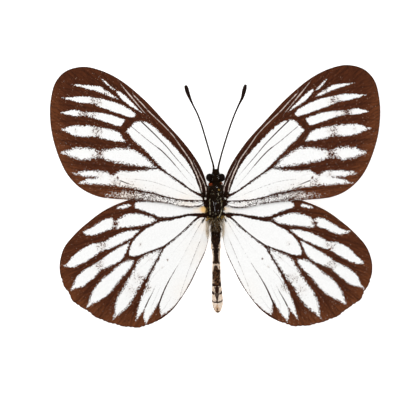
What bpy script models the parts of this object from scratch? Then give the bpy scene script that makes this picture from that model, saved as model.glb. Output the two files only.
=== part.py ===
"""A dried, spread butterfly specimen: body, head, antennae, folded legs and four veined wings, in metres.

The specimen lies back up on a flat surface at z = 0. Its head points to +Y, its right wings to +X, and the
origin is under the middle of the thorax, on the small flat of the belly.
"""

import math

import bmesh
import bpy
import numpy as np
from mathutils import Vector
from mathutils.geometry import delaunay_2d_cdt

# Driving dimensions
WINGSPAN = 0.0825
PLAN_SPAN = 82.5  # the span, in mm, at which every list of points below is written
MM = WINGSPAN / PLAN_SPAN

# Wing membrane, in mm
WING_THICKNESS = 0.20
VEIN_RISE = 0.12
VEIN_HALF_WIDTH = 0.36
VEIN_FADE = 0.55  # the share of its rise that a vein loses between the root and the tip
WING_GAP = 0.31  # between the forewing's lower veins and the hindwing's upper ones
WING_LEVEL = WING_THICKNESS / 2 + VEIN_RISE + WING_GAP / 2
EDGE_STEPS = 3  # spline steps between two points of a wing's outline

# Wing attitude, in mm: how far the wings rise outwards and droop to the front and back
WING_REACH = 41.25
ROOT_HEIGHT = 4.3
TIP_LIFT = 2.0
DROOP = 1.2
DROOP_CENTRE = 4.0
DROOP_REACH = 34.0
INNER_FOLD = 1.2  # the hindwing's inner margin hangs this much lower beside the abdomen
INNER_FOLD_WIDTH = 3.0
INNER_FOLD_START = -3.0
INNER_FOLD_FULL = -9.0

# The right wings were set a little differently from the left ones: u' and v' from 1, u and v
RIGHT_FOREWING_SET = ((0.056, 0.9949, 0.0068), (-0.042, 0.0005, 1.0158))
RIGHT_HINDWING_SET = ((-0.695, 1.0151, -0.0412), (-0.108, 0.0114, 0.9868))
RIGHT_TUCK = 0.85  # the right hindwing's inner margin lies this much further out
RIGHT_TUCK_WIDTH = 3.0
RIGHT_TUCK_START = 1.5

# Wing outlines in plan, in mm: outwards from the body's midline, then towards the head
FOREWING_EDGE = [
    (2.45, 1.2), (2.4, 2.8), (2.35, 4.8), (3.55, 9.0), (6.8, 14.0), (12.0, 20.0), (18.0, 26.05), (24.1, 31.0),
    (28.9, 33.35), (33.2, 34.2), (37.4, 33.1), (39.9, 30.4), (41.0, 26.5), (41.25, 22.5), (40.55, 17.0),
    (38.6, 11.0), (36.4, 7.0), (33.2, 3.9), (29.0, 1.95), (24.0, 1.3), (18.0, 0.95), (12.0, 0.25),
    (6.3, -0.7), (3.3, -0.2),
]
HINDWING_EDGE = [
    (2.75, -0.9), (4.5, 0.2), (8.0, 0.8), (15.0, 1.6), (20.0, 1.4), (24.2, 0.0), (28.3, -2.0), (32.1, -5.0),
    (35.3, -8.0), (37.7, -11.0), (38.7, -14.3), (38.75, -17.0), (38.0, -20.0), (36.6, -22.2), (35.3, -24.4),
    (32.1, -26.4), (29.4, -28.3), (26.3, -29.6), (22.5, -30.6), (18.6, -30.75), (16.5, -30.05), (13.6, -28.7),
    (10.6, -26.4), (8.8, -24.2), (6.2, -20.1), (4.3, -16.0), (2.6, -12.3), (1.75, -9.2), (1.7, -6.0), (2.2, -3.4),
]

# Wing veins in plan, in mm, each from its root or its fork to the wing's edge
FOREWING_VEINS = {
    "subcosta": [(3.0, 5.2), (3.5, 7.0), (4.9, 9.7), (7.2, 13.4), (10.2, 17.4), (13.4, 20.9), (16.6, 24.0), (19.6, 27.0)],
    "radius": [(3.0, 3.4), (4.1, 6.2), (5.6, 9.3), (7.6, 12.2), (10.2, 15.4), (13.0, 18.5), (15.6, 20.7), (17.6, 21.6)],
    "radius_1": [(14.0, 19.4), (17.0, 23.2), (19.4, 25.8), (21.6, 28.1), (23.9, 30.4)],
    "radius_2": [(16.0, 21.0), (18.4, 23.6), (20.6, 25.9), (22.6, 27.9), (24.6, 29.2), (28.6, 32.6)],
    "radial_stem": [(17.6, 21.6), (19.9, 22.9), (22.3, 24.8), (24.3, 26.9), (26.4, 28.7), (30.3, 31.5), (33.4, 33.6)],
    "media_1": [(23.0, 25.3), (25.4, 26.1), (28.2, 26.95), (31.0, 27.7), (34.5, 28.4), (39.6, 29.2)],
    "media_2": [(20.5, 21.2), (22.3, 21.6), (26.0, 22.75), (30.0, 23.8), (34.0, 24.5), (40.6, 25.0)],
    "media_3": [(22.7, 18.6), (25.0, 19.05), (28.0, 19.9), (31.0, 20.5), (35.0, 20.85), (40.6, 20.6)],
    "cubitus_1": [(20.3, 14.6), (23.0, 14.85), (27.0, 15.0), (31.0, 15.3), (35.0, 15.6), (39.8, 16.0)],
    "cubitus_2": [(14.2, 9.1), (17.0, 9.1), (20.0, 9.05), (24.0, 9.3), (30.0, 9.8), (34.0, 10.1), (38.0, 10.5)],
    "cubitus": [(3.0, 2.3), (5.5, 3.4), (8.5, 5.5), (11.5, 7.6), (14.2, 9.1), (16.2, 11.1), (18.3, 13.0), (20.3, 14.6),
                (21.9, 16.4), (22.7, 18.6)],
    "cell_end": [(22.7, 18.6), (21.9, 20.1), (20.5, 21.2), (19.0, 21.6), (17.6, 21.6)],
    "anal": [(3.2, 0.9), (8.0, 1.07), (11.0, 1.55), (15.0, 2.6), (19.0, 3.35), (23.0, 3.75), (28.0, 4.0), (33.2, 4.4)],
}
HINDWING_VEINS = {
    "subcosta": [(3.4, -0.8), (8.0, 0.25), (14.0, 0.9), (19.0, 0.8), (22.0, 0.3), (25.6, -1.1)],
    "radius": [(3.2, -2.4), (6.0, -2.6), (9.0, -3.2), (12.0, -3.72), (14.3, -3.95), (16.0, -5.1), (17.8, -6.0), (19.7, -7.8)],
    "radial_sector": [(14.3, -3.95), (16.0, -2.9), (18.0, -2.15), (20.0, -1.7), (22.0, -1.75), (25.0, -2.4), (28.0, -3.1),
                      (32.2, -5.5)],
    "media_1": [(17.8, -6.0), (21.0, -6.1), (24.0, -6.7), (27.0, -7.7), (30.0, -8.75), (33.0, -9.6), (37.2, -11.3)],
    "media_2": [(20.4, -8.75), (23.0, -10.05), (26.0, -11.5), (28.5, -12.9), (31.0, -14.4), (33.5, -15.9), (38.2, -17.9)],
    "media_3": [(22.0, -13.4), (24.4, -14.7), (27.0, -16.6), (29.3, -18.6), (31.3, -20.8), (34.6, -24.3)],
    "cell_end": [(19.7, -7.8), (20.9, -9.4), (21.6, -11.3), (22.0, -13.4)],
    "cubitus_1": [(19.8, -13.5), (20.4, -15.4), (21.8, -17.7), (23.4, -20.0), (25.2, -22.4), (26.9, -25.0), (28.7, -28.2)],
    "cubitus_2": [(12.9, -10.9), (14.6, -14.1), (16.2, -17.0), (17.7, -20.0), (18.9, -23.1), (20.0, -26.5), (21.1, -30.2)],
    "cubitus": [(3.2, -2.9), (4.6, -3.6), (6.6, -5.4), (9.3, -7.9), (12.9, -10.6), (15.0, -11.4), (17.5, -12.4), (19.8, -13.4),
                (22.0, -13.4)],
    "anal_2": [(3.4, -4.0), (5.0, -7.0), (7.0, -11.0), (9.0, -14.8), (10.9, -18.0), (12.4, -20.9), (13.6, -23.9), (14.9, -28.9)],
    "anal_3": [(2.7, -5.0), (3.9, -9.5), (5.8, -14.4), (7.2, -18.2), (8.9, -23.6)],
}

# Body lofts, in mm. A station is y, the centre's x, the half-width, the lowest z and the highest z
THORAX_STATIONS = [
    (5.75, 0.20, 0.50, 2.5, 3.9), (5.35, 0.20, 1.30, 1.6, 4.8), (4.4, 0.15, 1.80, 0.6, 5.6), (2.6, 0.10, 2.10, -0.45, 6.2),
    (0.5, 0.10, 2.08, -0.6, 6.3), (-1.5, 0.10, 1.90, -0.45, 6.1), (-3.2, 0.12, 1.62, 0.3, 5.6), (-4.4, 0.14, 1.25, 1.1, 5.0),
    (-5.0, 0.15, 0.75, 1.8, 4.3),
]
HEAD_STATIONS = [
    (7.95, 0.15, 0.30, 3.3, 4.3), (7.6, 0.15, 0.70, 2.9, 4.8), (6.9, 0.15, 0.85, 2.65, 5.1), (6.4, 0.15, 0.80, 2.75, 4.95),
    (6.1, 0.15, 0.55, 3.0, 4.6),
]
ABDOMEN_STATIONS = [
    (-5.35, 0.15, 0.70, 2.45, 4.10), (-6.2, 0.15, 1.05, 1.98, 4.40), (-8.2, 0.16, 1.12, 1.68, 4.30), (-11.0, 0.19, 1.20, 1.30, 4.05),
    (-11.4, 0.20, 1.00, 1.42, 3.85), (-14.7, 0.28, 0.98, 1.05, 3.55), (-15.1, 0.29, 0.92, 1.10, 3.45), (-17.6, 0.34, 1.02, 0.75, 3.25),
    (-18.0, 0.35, 0.96, 0.78, 3.15), (-20.3, 0.42, 1.15, 0.42, 3.05), (-20.7, 0.43, 1.08, 0.46, 2.95), (-22.4, 0.50, 1.24, 0.16, 2.90),
    (-22.8, 0.53, 1.18, 0.18, 2.82), (-24.4, 0.59, 1.30, 0.0, 2.75), (-24.8, 0.60, 1.22, 0.04, 2.65), (-26.0, 0.62, 1.00, 0.22, 2.40),
    (-26.9, 0.64, 0.65, 0.50, 2.0), (-27.35, 0.66, 0.22, 0.95, 1.55),
]
THORAX_SIDES = 20
HEAD_SIDES = 16
ABDOMEN_SIDES = 16

# Eyes, in mm: a dome on each side of the head, with a flat inner face
EYE_HEIGHT = 3.9
EYE_Y = 6.6
EYE_HALF_LENGTH = 0.9
EYE_HALF_HEIGHT = 1.05
EYE_BULGE = 1.05
EYE_INNER_X = {"left": -1.0, "right": 1.3}
EYE_SEGMENTS = 14
EYE_RINGS = 5

# Tubes, in mm: x, y, z and the radius at each point. Those of the right side, with x outwards from the body's midline
LEFT_ANTENNA = [
    (0.30, 8.0, 4.95, 0.20), (0.30, 9.3, 5.1, 0.15), (1.0, 11.7, 5.35, 0.15), (1.75, 14.3, 5.6, 0.15), (2.6, 17.2, 5.85, 0.15),
    (3.45, 20.0, 6.05, 0.15), (4.4, 22.5, 6.2, 0.16), (5.65, 25.0, 6.3, 0.17), (6.35, 26.6, 6.35, 0.24), (6.85, 27.9, 6.35, 0.36),
    (7.15, 28.9, 6.3, 0.37), (7.35, 29.55, 6.3, 0.18),
]
RIGHT_ANTENNA = [
    (0.70, 8.0, 4.95, 0.20), (0.75, 9.2, 5.1, 0.15), (1.35, 11.7, 5.35, 0.15), (2.07, 14.3, 5.6, 0.15), (2.95, 17.2, 5.85, 0.15),
    (3.9, 20.0, 6.05, 0.15), (4.85, 22.5, 6.2, 0.16), (6.0, 25.0, 6.3, 0.17), (6.8, 26.6, 6.35, 0.24), (7.15, 27.9, 6.35, 0.36),
    (7.4, 28.9, 6.3, 0.37), (7.6, 29.75, 6.3, 0.18),
]
PALP = [(0.34, 7.55, 2.2, 0.22), (0.38, 8.15, 2.55, 0.30), (0.36, 8.5, 3.2, 0.28), (0.32, 8.7, 3.85, 0.14)]
LEGS = {
    "front": [(2.25, 4.3, 1.5, 0.26), (2.8, 5.2, 1.8, 0.28), (3.3, 6.1, 1.9, 0.22), (3.35, 6.3, 1.5, 0.20), (3.1, 5.2, 0.9, 0.18),
              (3.0, 4.3, 0.42, 0.16), (3.15, 3.3, 0.16, 0.14), (3.4, 1.9, 0.15, 0.13)],
    "middle": [(2.35, 1.7, 1.4, 0.28), (3.1, 1.0, 1.85, 0.30), (3.9, 0.2, 2.1, 0.22), (3.95, -0.1, 1.75, 0.20), (3.5, -1.1, 1.05, 0.19),
               (3.2, -2.1, 0.45, 0.16), (3.5, -3.2, 0.16, 0.14), (4.0, -4.8, 0.15, 0.13)],
    "hind": [(2.2, -1.3, 1.5, 0.28), (2.5, -2.4, 2.0, 0.30), (2.8, -3.4, 2.35, 0.22), (2.75, -3.8, 2.05, 0.20), (2.45, -5.0, 1.25, 0.19),
             (2.3, -6.3, 0.5, 0.16), (2.5, -7.4, 0.16, 0.14), (2.9, -9.0, 0.15, 0.13)],
}
LIMB_CENTRE = 0.10  # the midline of the legs and palps, which the thorax shares
PALP_CENTRE = 0.18
TUBE_STEPS = 2
TUBE_RESOLUTION = 2  # an eight-sided tube

# Proboscis, in mm: a flat spiral under the head, in the body's upright middle plane
COIL_X = 0.18
COIL_Y = 7.0
COIL_Z = 1.35
COIL_OUTER = 0.85
COIL_PITCH = 0.42
COIL_TURNS = 1.6
COIL_POINTS = 26
COIL_TUBE_RADIUS = 0.11
COIL_START = math.radians(80)

# Colours, in linear RGB, with a roughness
COLOURS = {
    "wing_scales": ((0.085, 0.032, 0.017), 0.75),
    "body_chitin": ((0.016, 0.010, 0.008), 0.60),
    "abdomen_chitin": ((0.090, 0.050, 0.030), 0.65),
    "eye_lens": ((0.020, 0.010, 0.008), 0.25),
    "limb_chitin": ((0.022, 0.012, 0.009), 0.50),
}


def clear_scene():
    for old in list(bpy.data.objects):
        bpy.data.objects.remove(old)


def make_material(name):
    colour, roughness = COLOURS[name]
    material = bpy.data.materials.new(name)
    material.use_nodes = True
    shader = material.node_tree.nodes["Principled BSDF"]
    shader.inputs["Base Color"].default_value = (*colour, 1.0)
    shader.inputs["Roughness"].default_value = roughness
    shader.inputs["Metallic"].default_value = 0.0
    return material


def add_mesh_object(name, bm, material, smooth_angle=40.0):
    """A new object from a bmesh written in mm, with its faces pointing out."""
    bmesh.ops.scale(bm, vec=(MM, MM, MM), verts=bm.verts)
    bmesh.ops.recalc_face_normals(bm, faces=bm.faces)
    mesh = bpy.data.meshes.new(name)
    bm.to_mesh(mesh)
    bm.free()
    mesh.shade_smooth()
    mesh.set_sharp_from_angle(angle=math.radians(smooth_angle))
    mesh.materials.append(material)
    obj = bpy.data.objects.new(name, mesh)
    bpy.context.scene.collection.objects.link(obj)
    return obj


def spline(points, steps, closed):
    """Points on a Catmull-Rom curve through these, of any number of coordinates."""
    rows = np.array(points, float)
    count = len(rows)
    found = []
    for i in range(count if closed else count - 1):
        if closed:
            a, b, c, d = (rows[(i + k) % count] for k in (-1, 0, 1, 2))
        else:
            a, b, c, d = (rows[min(max(i + k, 0), count - 1)] for k in (-1, 0, 1, 2))
        for step in range(steps):
            t = step / steps
            found.append(0.5 * (2 * b + (c - a) * t + (2 * a - 5 * b + 4 * c - d) * t**2 + (3 * b - a - 3 * c + d) * t**3))
    if not closed:
        found.append(rows[-1])
    return [tuple(point) for point in found]


def ramp(value, start, end):
    """A smooth step from 0 at start to 1 at end."""
    t = min(max((value - start) / (end - start), 0.0), 1.0)
    return t * t * (3 - 2 * t)


def wing_height(u, v):
    """The height of the surface that the four wings share, before the forewings' and hindwings' own levels."""
    lift = TIP_LIFT * math.sin(math.pi / 2 * u / WING_REACH)
    return ROOT_HEIGHT + lift - DROOP * ((v - DROOP_CENTRE) / DROOP_REACH) ** 2


def inner_fold(u, v):
    beside_body = math.exp(-max(u - RIGHT_TUCK_START, 0.0) / INNER_FOLD_WIDTH)
    return INNER_FOLD * beside_body * ramp(v, INNER_FOLD_START, INNER_FOLD_FULL)


def moved(point, setting, tuck):
    """A plan point of a left wing, moved to where the same point lies on the right wing."""
    u, v = point
    out = [row[0] + row[1] * u + row[2] * v for row in setting]
    out[0] += tuck * math.exp(-max(u - RIGHT_TUCK_START, 0.0) / RIGHT_TUCK_WIDTH)
    return tuple(out)


def distance_to_line(point, line):
    """The plan distance from a point to a vein's centre line."""
    here = np.array(point)
    starts = np.array(line[:-1])
    spans = np.array(line[1:]) - starts
    along = np.clip(((here - starts) * spans).sum(axis=1) / (spans**2).sum(axis=1), 0.0, 1.0)
    return np.linalg.norm(starts + spans * along[:, None] - here, axis=1).min()


def beside(line, offset):
    """The line moved sideways by this offset."""
    rows = np.array(line)
    along = np.gradient(rows, axis=0)
    along /= np.linalg.norm(along, axis=1)[:, None]
    return [tuple(row) for row in rows + np.stack([-along[:, 1], along[:, 0]], axis=1) * offset]


def wing_net(edge, veins):
    """Plan points and triangles of a wing: its outline, and each vein's centre line between two flank lines."""
    points = [Vector(point) for point in edge]
    segments = []
    for line in veins:
        for offset in (-VEIN_HALF_WIDTH, 0.0, VEIN_HALF_WIDTH):
            first = len(points)
            points += [Vector(point) for point in beside(line, offset)]
            segments += [(i, i + 1) for i in range(first, len(points) - 1)]
    inside = 1
    merge = 0.06
    net = delaunay_2d_cdt(points, segments, [list(range(len(edge)))], inside, merge)
    return net[0], net[2]


def build_wing(name, side, edge, veins, level, setting, tuck, folded, material):
    """One wing: a thin plate that follows the wings' shared surface, with its veins raised on both faces."""
    outline = spline(edge, EDGE_STEPS, closed=True)
    lines = list(veins.values())
    if side == "right":
        outline = [moved(point, setting, tuck) for point in outline]
        lines = [[moved(point, setting, tuck) for point in line] for line in lines]
    points, faces = wing_net(outline, lines)
    outwards = 1 if side == "right" else -1
    bm = bmesh.new()
    upper, lower = [], []
    for u, v in points:
        nearest = min(distance_to_line((u, v), line) for line in lines)
        rise = VEIN_RISE * max(0.0, 1 - nearest / VEIN_HALF_WIDTH) * (1 - VEIN_FADE * u / WING_REACH)
        middle = wing_height(u, v) + level - (inner_fold(u, v) if folded else 0.0)
        half = WING_THICKNESS / 2 + rise
        upper.append(bm.verts.new((outwards * u, v, middle + half)))
        lower.append(bm.verts.new((outwards * u, v, middle - half)))
    for face in faces:
        bm.faces.new([upper[i] for i in face])
        bm.faces.new([lower[i] for i in reversed(face)])
    rims = [e for e in bm.edges if e.is_boundary]
    bmesh.ops.bridge_loops(bm, edges=rims)
    bmesh.ops.triangulate(bm, faces=[f for f in bm.faces if len(f.verts) > 3])
    return add_mesh_object(name, bm, material)


def build_wings(material):
    for side in ("left", "right"):
        build_wing(f"forewing_{side}", side, FOREWING_EDGE, FOREWING_VEINS, WING_LEVEL, RIGHT_FOREWING_SET, 0.0, False, material)
        build_wing(f"hindwing_{side}", side, HINDWING_EDGE, HINDWING_VEINS, -WING_LEVEL, RIGHT_HINDWING_SET, RIGHT_TUCK, True, material)


def loft(stations, sides):
    """A bmesh of oval rings, one at each station, joined into one closed body."""
    bm = bmesh.new()
    rings = []
    for y, centre, half_width, low, high in stations:
        ring = []
        for k in range(sides):
            angle = 2 * math.pi * k / sides
            x = centre + half_width * math.cos(angle)
            z = (low + high) / 2 + (high - low) / 2 * math.sin(angle)
            ring.append(bm.verts.new((x, y, z)))
        rings.append(ring)
    for first, second in zip(rings, rings[1:]):
        for k in range(sides):
            bm.faces.new((first[k], first[(k + 1) % sides], second[(k + 1) % sides], second[k]))
    bm.faces.new(rings[0])
    bm.faces.new(rings[-1])
    return bm


def cut_flat(bm, height):
    """Cuts the body level at this height and closes the cut with one flat face."""
    cut = bmesh.ops.bisect_plane(
        bm, geom=bm.verts[:] + bm.edges[:] + bm.faces[:], plane_co=(0, 0, height), plane_no=(0, 0, 1), clear_inner=True
    )
    loop = [piece for piece in cut["geom_cut"] if isinstance(piece, bmesh.types.BMEdge)]
    bmesh.ops.edgeloop_fill(bm, edges=loop)


def build_thorax(material):
    bm = loft(THORAX_STATIONS, THORAX_SIDES)
    cut_flat(bm, 0.0)
    return add_mesh_object("thorax", bm, material)


def build_eye(side, material):
    """A half ellipsoid whose flat face looks at the head."""
    bm = bmesh.new()
    outwards = 1 if side == "right" else -1
    rings = []
    for ring_number in range(EYE_RINGS):
        angle = math.pi / 2 * ring_number / EYE_RINGS
        x = EYE_INNER_X[side] + outwards * EYE_BULGE * math.sin(angle)
        ring = []
        for k in range(EYE_SEGMENTS):
            turn = 2 * math.pi * k / EYE_SEGMENTS
            y = EYE_Y + EYE_HALF_LENGTH * math.cos(angle) * math.cos(turn)
            z = EYE_HEIGHT + EYE_HALF_HEIGHT * math.cos(angle) * math.sin(turn)
            ring.append(bm.verts.new((x, y, z)))
        rings.append(ring)
    for first, second in zip(rings, rings[1:]):
        for k in range(EYE_SEGMENTS):
            bm.faces.new((first[k], first[(k + 1) % EYE_SEGMENTS], second[(k + 1) % EYE_SEGMENTS], second[k]))
    pole = bm.verts.new((EYE_INNER_X[side] + outwards * EYE_BULGE, EYE_Y, EYE_HEIGHT))
    for k in range(EYE_SEGMENTS):
        bm.faces.new((rings[-1][k], rings[-1][(k + 1) % EYE_SEGMENTS], pole))
    bm.faces.new(rings[0])
    return add_mesh_object(f"eye_{side}", bm, material, smooth_angle=60.0)


def build_tube(name, route, material, steps=TUBE_STEPS):
    """A tube along a smooth route of x, y, z and radius, with closed ends."""
    curve = bpy.data.curves.new(name, "CURVE")
    curve.dimensions = "3D"
    curve.bevel_depth = MM
    curve.bevel_resolution = TUBE_RESOLUTION
    curve.use_fill_caps = True
    points = spline(route, steps, closed=False)
    line = curve.splines.new("POLY")
    line.points.add(len(points) - 1)
    for point, (x, y, z, radius) in zip(line.points, points):
        point.co = (x * MM, y * MM, z * MM, 1.0)
        point.radius = radius
    curve.materials.append(material)
    obj = bpy.data.objects.new(name, curve)
    bpy.context.scene.collection.objects.link(obj)
    return obj


def set_on_side(route, side, centre):
    """The route with x measured outwards from the given midline, on this side of the body."""
    outwards = 1 if side == "right" else -1
    return [(centre + outwards * (x - centre), y, z, radius) for x, y, z, radius in route]


def build_limbs(material):
    build_tube("antenna_left", set_on_side(LEFT_ANTENNA, "left", 0.0), material)
    build_tube("antenna_right", RIGHT_ANTENNA, material)
    for side in ("left", "right"):
        outwards_palp = [(x + PALP_CENTRE, y, z, radius) for x, y, z, radius in PALP]
        build_tube(f"palp_{side}", set_on_side(outwards_palp, side, PALP_CENTRE), material)
        for pair, route in LEGS.items():
            build_tube(f"leg_{pair}_{side}", set_on_side(route, side, LIMB_CENTRE), material)


def build_proboscis(material):
    route = []
    for k in range(COIL_POINTS):
        share = k / (COIL_POINTS - 1)
        angle = COIL_START - 2 * math.pi * COIL_TURNS * share
        radius = COIL_OUTER - COIL_PITCH * COIL_TURNS * share
        y = COIL_Y + radius * math.cos(angle)
        z = COIL_Z + radius * math.sin(angle)
        route.append((COIL_X, y, z, COIL_TUBE_RADIUS))
    return build_tube("proboscis", route, material, steps=1)


def main():
    clear_scene()
    materials = {name: make_material(name) for name in COLOURS}
    build_thorax(materials["body_chitin"])
    add_mesh_object("head", loft(HEAD_STATIONS, HEAD_SIDES), materials["body_chitin"])
    add_mesh_object("abdomen", loft(ABDOMEN_STATIONS, ABDOMEN_SIDES), materials["abdomen_chitin"])
    for side in ("left", "right"):
        build_eye(side, materials["eye_lens"])
    build_limbs(materials["limb_chitin"])
    build_proboscis(materials["limb_chitin"])
    build_wings(materials["wing_scales"])


main()
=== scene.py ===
# %% [markdown]
# # A spread butterfly specimen
# The real thing is a dried insect: a hairy body, two clubbed antennae, six folded legs and four thin wings
# that are covered with coloured scales like roof tiles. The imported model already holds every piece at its
# place. This script keeps those places and makes each piece again with the finish of the real one.

# %% Load the frame
import math
import random

import bpy
import numpy as np
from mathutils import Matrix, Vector


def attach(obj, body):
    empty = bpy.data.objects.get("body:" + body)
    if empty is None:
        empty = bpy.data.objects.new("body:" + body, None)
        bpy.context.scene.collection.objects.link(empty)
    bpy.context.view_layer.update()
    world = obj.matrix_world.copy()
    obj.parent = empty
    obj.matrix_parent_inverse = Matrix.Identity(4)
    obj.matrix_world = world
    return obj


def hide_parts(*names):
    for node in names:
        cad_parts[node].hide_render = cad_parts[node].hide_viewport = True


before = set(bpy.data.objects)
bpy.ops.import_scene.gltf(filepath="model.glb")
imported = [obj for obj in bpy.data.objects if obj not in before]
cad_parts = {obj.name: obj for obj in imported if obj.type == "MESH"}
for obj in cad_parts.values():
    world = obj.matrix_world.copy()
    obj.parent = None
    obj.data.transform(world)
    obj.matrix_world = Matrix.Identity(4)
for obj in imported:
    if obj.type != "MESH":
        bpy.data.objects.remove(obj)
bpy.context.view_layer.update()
MM = 0.001

# %% [markdown]
# Every colour below is written as it looks on a screen, in sRGB hex. Blender works in linear light, so one
# function turns each hex value into that. A second function adds a node to a material with its settings and
# its inputs, which may be plain values or the outputs of other nodes.

# %% Colour and node helpers
def linear(hex_colour):
    """An sRGB hex colour, such as "#FFFFFF", as linear RGBA."""
    parts = [int(hex_colour[i : i + 2], 16) / 255 for i in (1, 3, 5)]
    return (*[c / 12.92 if c <= 0.04045 else ((c + 0.055) / 1.055) ** 2.4 for c in parts], 1.0)


def add_node(tree, kind, inputs=None, **settings):
    """Adds a node, sets its settings, and fills or links its inputs. It returns the node."""
    node = tree.nodes.new(kind)
    for name, value in settings.items():
        setattr(node, name, value)
    for name, value in (inputs or {}).items():
        if isinstance(value, bpy.types.NodeSocket):
            tree.links.new(value, node.inputs[name])
        else:
            node.inputs[name].default_value = value
    return node


def new_material(name, **shader_values):
    """A material with one Principled shader, whose plain values are set by name. It returns both."""
    material = bpy.data.materials.new(name)
    material.use_nodes = True
    shader = material.node_tree.nodes["Principled BSDF"]
    for socket, value in shader_values.items():
        shader.inputs[socket.replace("_", " ")].default_value = value
    return material, shader


def calculate(tree, operation, *values, clamp=False):
    """The output of a Math node that works on these values or sockets."""
    node = add_node(tree, "ShaderNodeMath", dict(enumerate(values)), operation=operation, use_clamp=clamp)
    return node.outputs[0]


def mix_colours(tree, share, first, second):
    """The output of a colour mix: first where share is 0, second where it is 1."""
    inputs = {"Factor": share, 6: first, 7: second}
    return add_node(tree, "ShaderNodeMix", inputs, data_type="RGBA", clamp_factor=True).outputs[2]


def step_between(tree, value, low, high):
    """A smooth step of the value: 0 up to low, 1 from high on."""
    inputs = {"Value": value, "From Min": low, "From Max": high}
    return add_node(tree, "ShaderNodeMapRange", inputs, interpolation_type="SMOOTHSTEP").outputs[0]


def step_down(tree, value, low, high):
    """The other way round: 1 up to low, 0 from high on."""
    return calculate(tree, "SUBTRACT", 1.0, step_between(tree, value, low, high))


def object_place(tree):
    return add_node(tree, "ShaderNodeTexCoord").outputs["Object"]


def noise(tree, place, size, detail):
    """Smooth noise whose blotches are this size in mm."""
    inputs = {"Vector": place, "Scale": 1 / (size * MM), "Detail": detail}
    return add_node(tree, "ShaderNodeTexNoise", inputs).outputs["Fac"]


def cell_chance(tree, place, size):
    """Two random numbers for each cell of this size in mm, and the distance from the cell's middle."""
    cells = add_node(tree, "ShaderNodeTexVoronoi", {"Vector": place, "Scale": 1 / (size * MM)})
    parts = add_node(tree, "ShaderNodeSeparateColor", {"Color": cells.outputs["Color"]})
    return parts.outputs[0], parts.outputs[1], cells.outputs["Distance"]


def link_surface(tree, shader, colour, height, strength, depth):
    """Gives the shader its colour, and a bump of this strength that is this deep in mm."""
    tree.links.new(colour, shader.inputs["Base Color"])
    bump = add_node(tree, "ShaderNodeBump", {"Strength": strength, "Distance": depth * MM, "Height": height})
    tree.links.new(bump.outputs[0], shader.inputs["Normal"])


# %% [markdown]
# ## Where it lies
# The photograph looks straight down through a long lens on a white table, with light from all sides. A white
# floor, a white sky and one broad soft lamp give that. The camera frames 104 mm of the table, with the
# picture's centre a little to the left of the body.

# %% Floor, light and camera
PIXEL = 0.25 * MM
PICTURE = 416
PICTURE_CENTRE = (-7 * PIXEL, -4 * PIXEL)
WING_LEVEL_SEEN = 5 * MM
LENS = 200.0
SENSOR = 36.0
TABLE_GLOW = 0.58
SKY_LIGHT = 0.86
LAMP_PLACE = (-0.25, 0.35, 0.6)

bpy.ops.object.select_all(action="DESELECT")
bpy.ops.mesh.primitive_plane_add(size=3.0, location=(0, 0, 0))
floor = bpy.context.object
floor.name = "floor"
floor_material, floor_shader = new_material("white_table", Base_Color=linear("#F4F4F4"), Roughness=0.9)
floor_shader.inputs["Emission Color"].default_value = (1, 1, 1, 1)
floor_shader.inputs["Emission Strength"].default_value = TABLE_GLOW
floor.data.materials.append(floor_material)

world = bpy.data.worlds.new("white_surroundings")
bpy.context.scene.world = world
world.use_nodes = True
background = world.node_tree.nodes["Background"]
background.inputs["Color"].default_value = (1, 1, 1, 1)
background.inputs["Strength"].default_value = SKY_LIGHT

bpy.ops.object.light_add(type="AREA", location=LAMP_PLACE)
lamp = bpy.context.object
lamp.name = "soft_lamp"
lamp.data.size = 0.5
lamp.data.energy = 1.5
lamp.rotation_euler = Vector(LAMP_PLACE).to_track_quat("Z", "Y").to_euler()

camera_data = bpy.data.cameras.new("camera")
camera_data.lens = LENS
camera_data.sensor_width = SENSOR
camera = bpy.data.objects.new("camera", camera_data)
bpy.context.scene.collection.objects.link(camera)
bpy.context.scene.camera = camera
distance = PICTURE * PIXEL * LENS / SENSOR
camera.location = (*PICTURE_CENTRE, WING_LEVEL_SEEN + distance)
camera_data.clip_start = 0.01
bpy.context.scene.view_settings.view_transform = "Standard"
print("the camera is", round(distance, 3), "m above the wings")

# %% [markdown]
# ## The wings' plan
# A butterfly's wing is a flat sheet stiffened by veins. This one is white between the veins, with a brown
# border and brown along each vein, so its pattern is a set of white windows. All of it is drawn in plan, in
# millimetres, outwards from the body's midline and then towards the head. Both sides share one plan, and each
# wing is set by a small shift, turn and stretch of its own. A point that is given twice is a sharp corner.

# %% Outlines and veins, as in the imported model
FOREWING_EDGE = [
    (1.70, 0.6), (1.70, 2.6), (2.0, 4.8), (3.55, 9.0), (6.8, 14.0), (12.0, 20.0), (18.0, 26.05),
    (24.1, 31.0), (28.9, 33.35), (33.2, 34.2), (37.4, 33.1), (39.9, 30.4), (41.0, 26.5), (41.25, 22.5),
    (40.55, 17.0), (38.6, 11.0), (36.4, 7.0), (33.2, 3.9), (29.0, 1.95), (24.0, 1.3), (18.0, 0.95),
    (12.0, 0.25), (6.3, -0.7), (3.0, -0.2),
]
HINDWING_EDGE = [
    (1.70, 0.1), (2.8, 0.3), (4.5, 0.35), (8.0, 0.8), (15.0, 1.6), (20.0, 1.4), (24.2, 0.0), (28.3, -2.0),
    (32.1, -5.0), (35.3, -8.0), (37.7, -11.0), (38.7, -14.3), (38.75, -17.0), (38.0, -20.0), (36.6, -22.2),
    (35.3, -24.4), (32.1, -26.4), (29.4, -28.3), (26.3, -29.6), (22.5, -30.6), (18.6, -30.75),
    (16.5, -30.05), (13.6, -28.7), (10.6, -26.4), (8.8, -24.2), (6.2, -20.1), (4.3, -16.0), (2.6, -12.3),
    (1.75, -9.2), (1.6, -6.0), (1.6, -3.4),
]
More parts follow.
